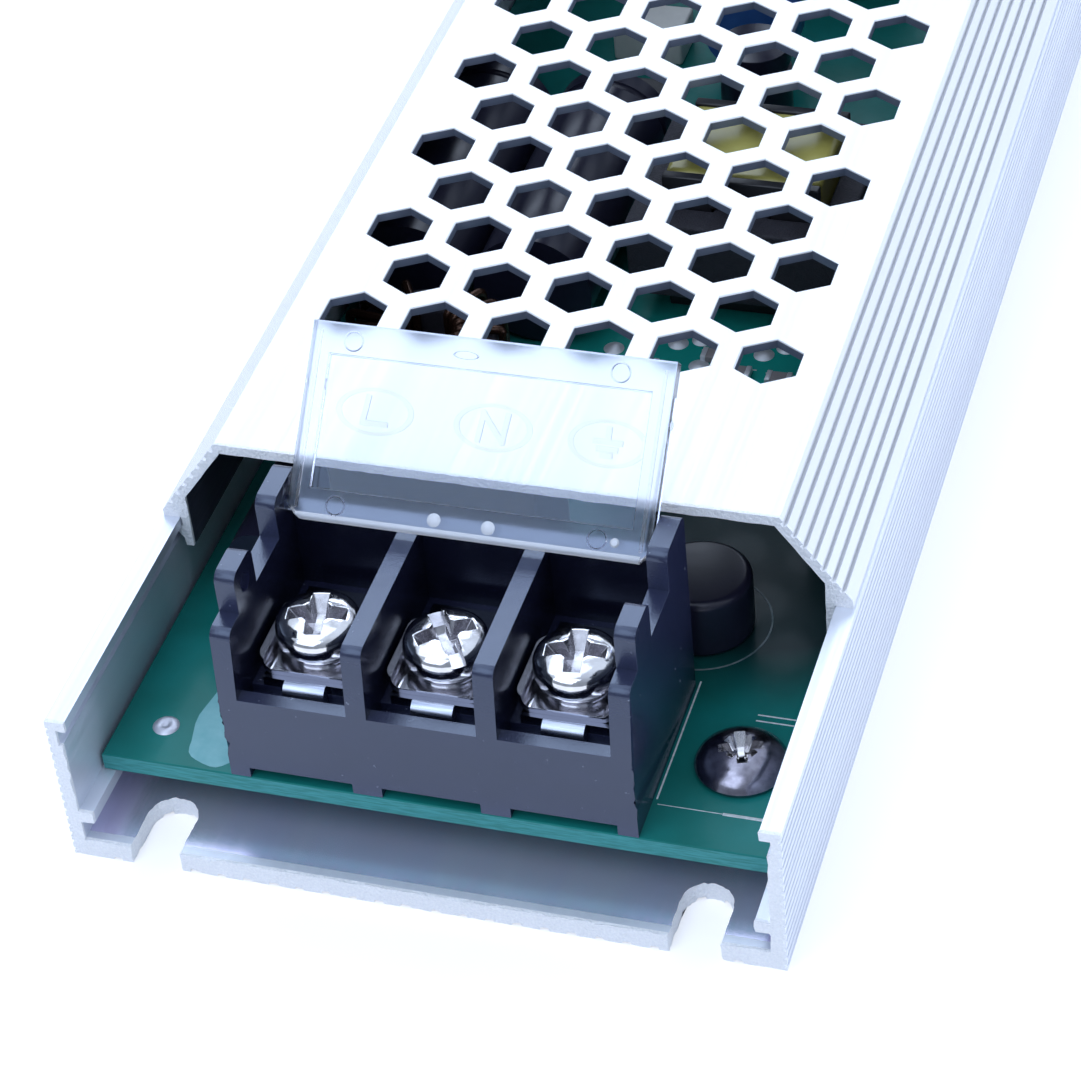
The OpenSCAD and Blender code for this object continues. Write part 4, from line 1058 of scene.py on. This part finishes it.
for slot, finish, roundings in (
    ("insulator_sheet", coated("insulating_paper", (0.62, 0.58, 0.47), (0.70, 0.66, 0.55), 0.7, 1500, 0.02),
     {"insulating_sheet": 0.1}),
    ("standoff_steel", coated("turned_steel", (0.55, 0.54, 0.52), (0.66, 0.65, 0.64), 0.3, Metallic=1.0),
     {"board_standoffs": 0.15}),
    ("dark_sleeve", coated("shrink_sleeve", (0.014, 0.014, 0.031), (0.018, 0.018, 0.039), 0.3),
     {"fuse": 0.3, "drum_choke": 0.6, "bulk_capacitors": 0.4, "auxiliary_capacitor": 0.3, "output_capacitors": 0.4}),
    # The yellow box is painted dark, as painted shade.
    ("yellow_box", coated("shaded_yellow_case", (0.075, 0.060, 0.030), (0.095, 0.076, 0.038), 0.4),
     {"mains_filter_capacitor": 0.5}),
    ("blue_coat", coated("blue_dip", (0.03, 0.10, 0.34), (0.05, 0.14, 0.42), 0.3),
     {"surge_varistor": 0.9, "safety_capacitor": 0.9}),
    ("ferrite", coated("ferrite", (0.030, 0.029, 0.040), (0.038, 0.037, 0.050), 0.6, 1800, 0.03),
     {"filter_choke_core": 0.4, "transformer_core": 0.25, "output_choke_core": 0.4}),
    ("brown_coat", coated("brown_dip", (0.36, 0.13, 0.04), (0.44, 0.18, 0.06), 0.3), {"film_capacitor": 0.8}),
    ("black_epoxy", coated("black_resin", (0.018, 0.018, 0.022), (0.022, 0.022, 0.027), 0.5),
     {"bridge_rectifier": 0.3, "transformer_bobbin": 0.15, "primary_transistor": 0.25, "controller_chip": 0.15,
      "output_rectifier": 0.25}),
    ("winding_tape", coated("winding_tape", (0.38, 0.34, 0.08), (0.46, 0.42, 0.12), 0.35, 500),
     {"transformer_winding": 0.6}),
    ("bar_aluminium", bar_metal, {"primary_heat_bar": 0.2, "secondary_heat_bar": 0.2}),
    ("white_epoxy", coated("white_resin", (0.66, 0.66, 0.62), (0.74, 0.74, 0.70), 0.5), {"optocoupler": 0.3}),
    ("green_lens", coated("green_lens", (0.06, 0.40, 0.12), (0.08, 0.46, 0.15), 0.15), {"indicator_led": 0.1}),
    ("black_epoxy", coated("chip_body", (0.26, 0.24, 0.25), (0.34, 0.32, 0.32), 0.45), {"chip_parts": 0.08}),
):
    for node, rounding in roundings.items():
        part = copy_of(node)
        round_edges(part, rounding, lambda e: sharp(e, 50), 3)
        dress(part, finish, slot, node)
    print(slot, "on", ", ".join(roundings))

# %% [markdown]
# ## Small work on the board
# Small square parts lie flat on the board. Their ends are tinned, round joints stand between them and a printed
# line runs on either side of each, so that the vents show pale specks on green and not one empty field.

# %% Solder the ends of the chips
chip_places = ((10.4, -41.6), (12.6, -39.4), (4.2, -42), (1.6, -39.6), (6.8, -37.4), (9.2, -39.2), (14.2, -43.4),
               (13, -54.5))
pad_places = ((3.4, -40.2), (5.8, -38.6), (-1.2, -40.6), (-3.8, -39.4), (-5.4, -40.8), (7.6, -41.6), (-1.6, -37.6),
              (-0.6, -34.9), (1.6, -35.4), (3.4, -36), (5.2, -35.2), (7.2, -34.8), (10.6, -36.2), (12.2, -35))
pad_section = [(0, 0.3), (0.3, 0.28), (0.6, 0.16), (0.85, 0.02), (0.85, 0), (0, 0)]
tinned = coated("tinned_ends", (0.74, 0.76, 0.80), (0.82, 0.84, 0.88), 0.35, Metallic=0.4)
chip_ends = [bar("chip_end", (x + near_end, y - 0.67, board_z), (x + far_end, y + 0.67, board_z + 0.64), 0.08)
             for x, y in chip_places for near_end, far_end in ((-1.05, -0.6), (0.6, 1.05))]
pads = [turned("pad", pad_section, Vector((x, y, board_z)) * mm, 20) for x, y in pad_places]
dress(joined("chip_solder", chip_ends + pads), tinned, "plated_contact")
chip_lines = [ink_line(x - 1.3, y + side, x + 1.3, y + side + 0.14) for x, y in chip_places for side in (-1.0, 0.86)]
dress(joined("chip_print", chip_lines), ink, "board_green")
print("chips soldered:", len(chip_places))

# %% [markdown]
# ## Wound wire
# A ring core is wound by hand with enamelled wire. One turn is a rounded rectangle of wire round the section of
# the core: a plane with its corners bevelled, left as an outline, and given thickness as a curve. Copies of it
# are turned about the core's axis.

# %% Wind the chokes
# The enamelled copper is painted dark, as painted shade.
shaded_enamel = coated("shaded_enamelled_wire", (0.060, 0.030, 0.020), (0.085, 0.042, 0.026), 0.25, 1200, Metallic=0.7)


def wire_turn(inner, outer, low, high, wire):
    """One closed turn of wire round the section of a ring core, in the plane that faces along Y, in mm."""
    turn = added(bpy.ops.mesh.primitive_plane_add, "turn", size=1, rotation=(math.pi / 2, 0, 0))
    turn.scale = Vector((outer - inner, high - low, 1)) * mm
    turn.location = Vector(((inner + outer) / 2, 0, (low + high) / 2)) * mm
    settle(turn)
    edit(turn, "SELECT")
    bpy.ops.mesh.bevel(offset=0.5 * mm, segments=3, affect="VERTICES")
    bpy.ops.mesh.select_all(action="SELECT")
    bpy.ops.mesh.delete(type="ONLY_FACE")
    leave()
    bpy.ops.object.convert(target="CURVE")
    turn.data.bevel_depth = wire / 2 * mm
    turn.data.bevel_resolution = 2
    bpy.ops.object.convert(target="MESH")
    return turn


def wind(node, core, section, spans, count):
    """Copies one turn about the axis of a core, over one or more spans of angle, to stand for a node."""
    low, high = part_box(core)
    axis = ((low.x + high.x) / 2 / mm, (low.y + high.y) / 2 / mm)
    first = wire_turn(*section)
    turns = []
    for start, end in spans:
        for k in range(count):
            turn = bpy.data.objects.new("turn", first.data.copy())
            scene.collection.objects.link(turn)
            turn.rotation_euler.z = math.radians(start + (end - start) * k / (count - 1))
            turn.location = Vector((*axis, 0)) * mm
            settle(turn)
            turns.append(turn)
    bpy.data.objects.remove(first)
    winding = joined(node + ".wound", turns)
    face_outwards(winding)
    dress(winding, shaded_enamel, "copper_wire", node, degrees=60)
    print(node, "wound:", len(winding.data.polygons), "faces")


wind("filter_choke_windings", "filter_choke_core",
     (2.72, 6.48, board_z + 0.42, board_z + 7.88, 0.78), ((-60, 60), (120, 240)), 8)
wind("output_choke_winding", "output_choke_core",
     (3.12, 7.68, board_z + 0.42, board_z + 8.38, 0.78), ((35, 325),), 19)
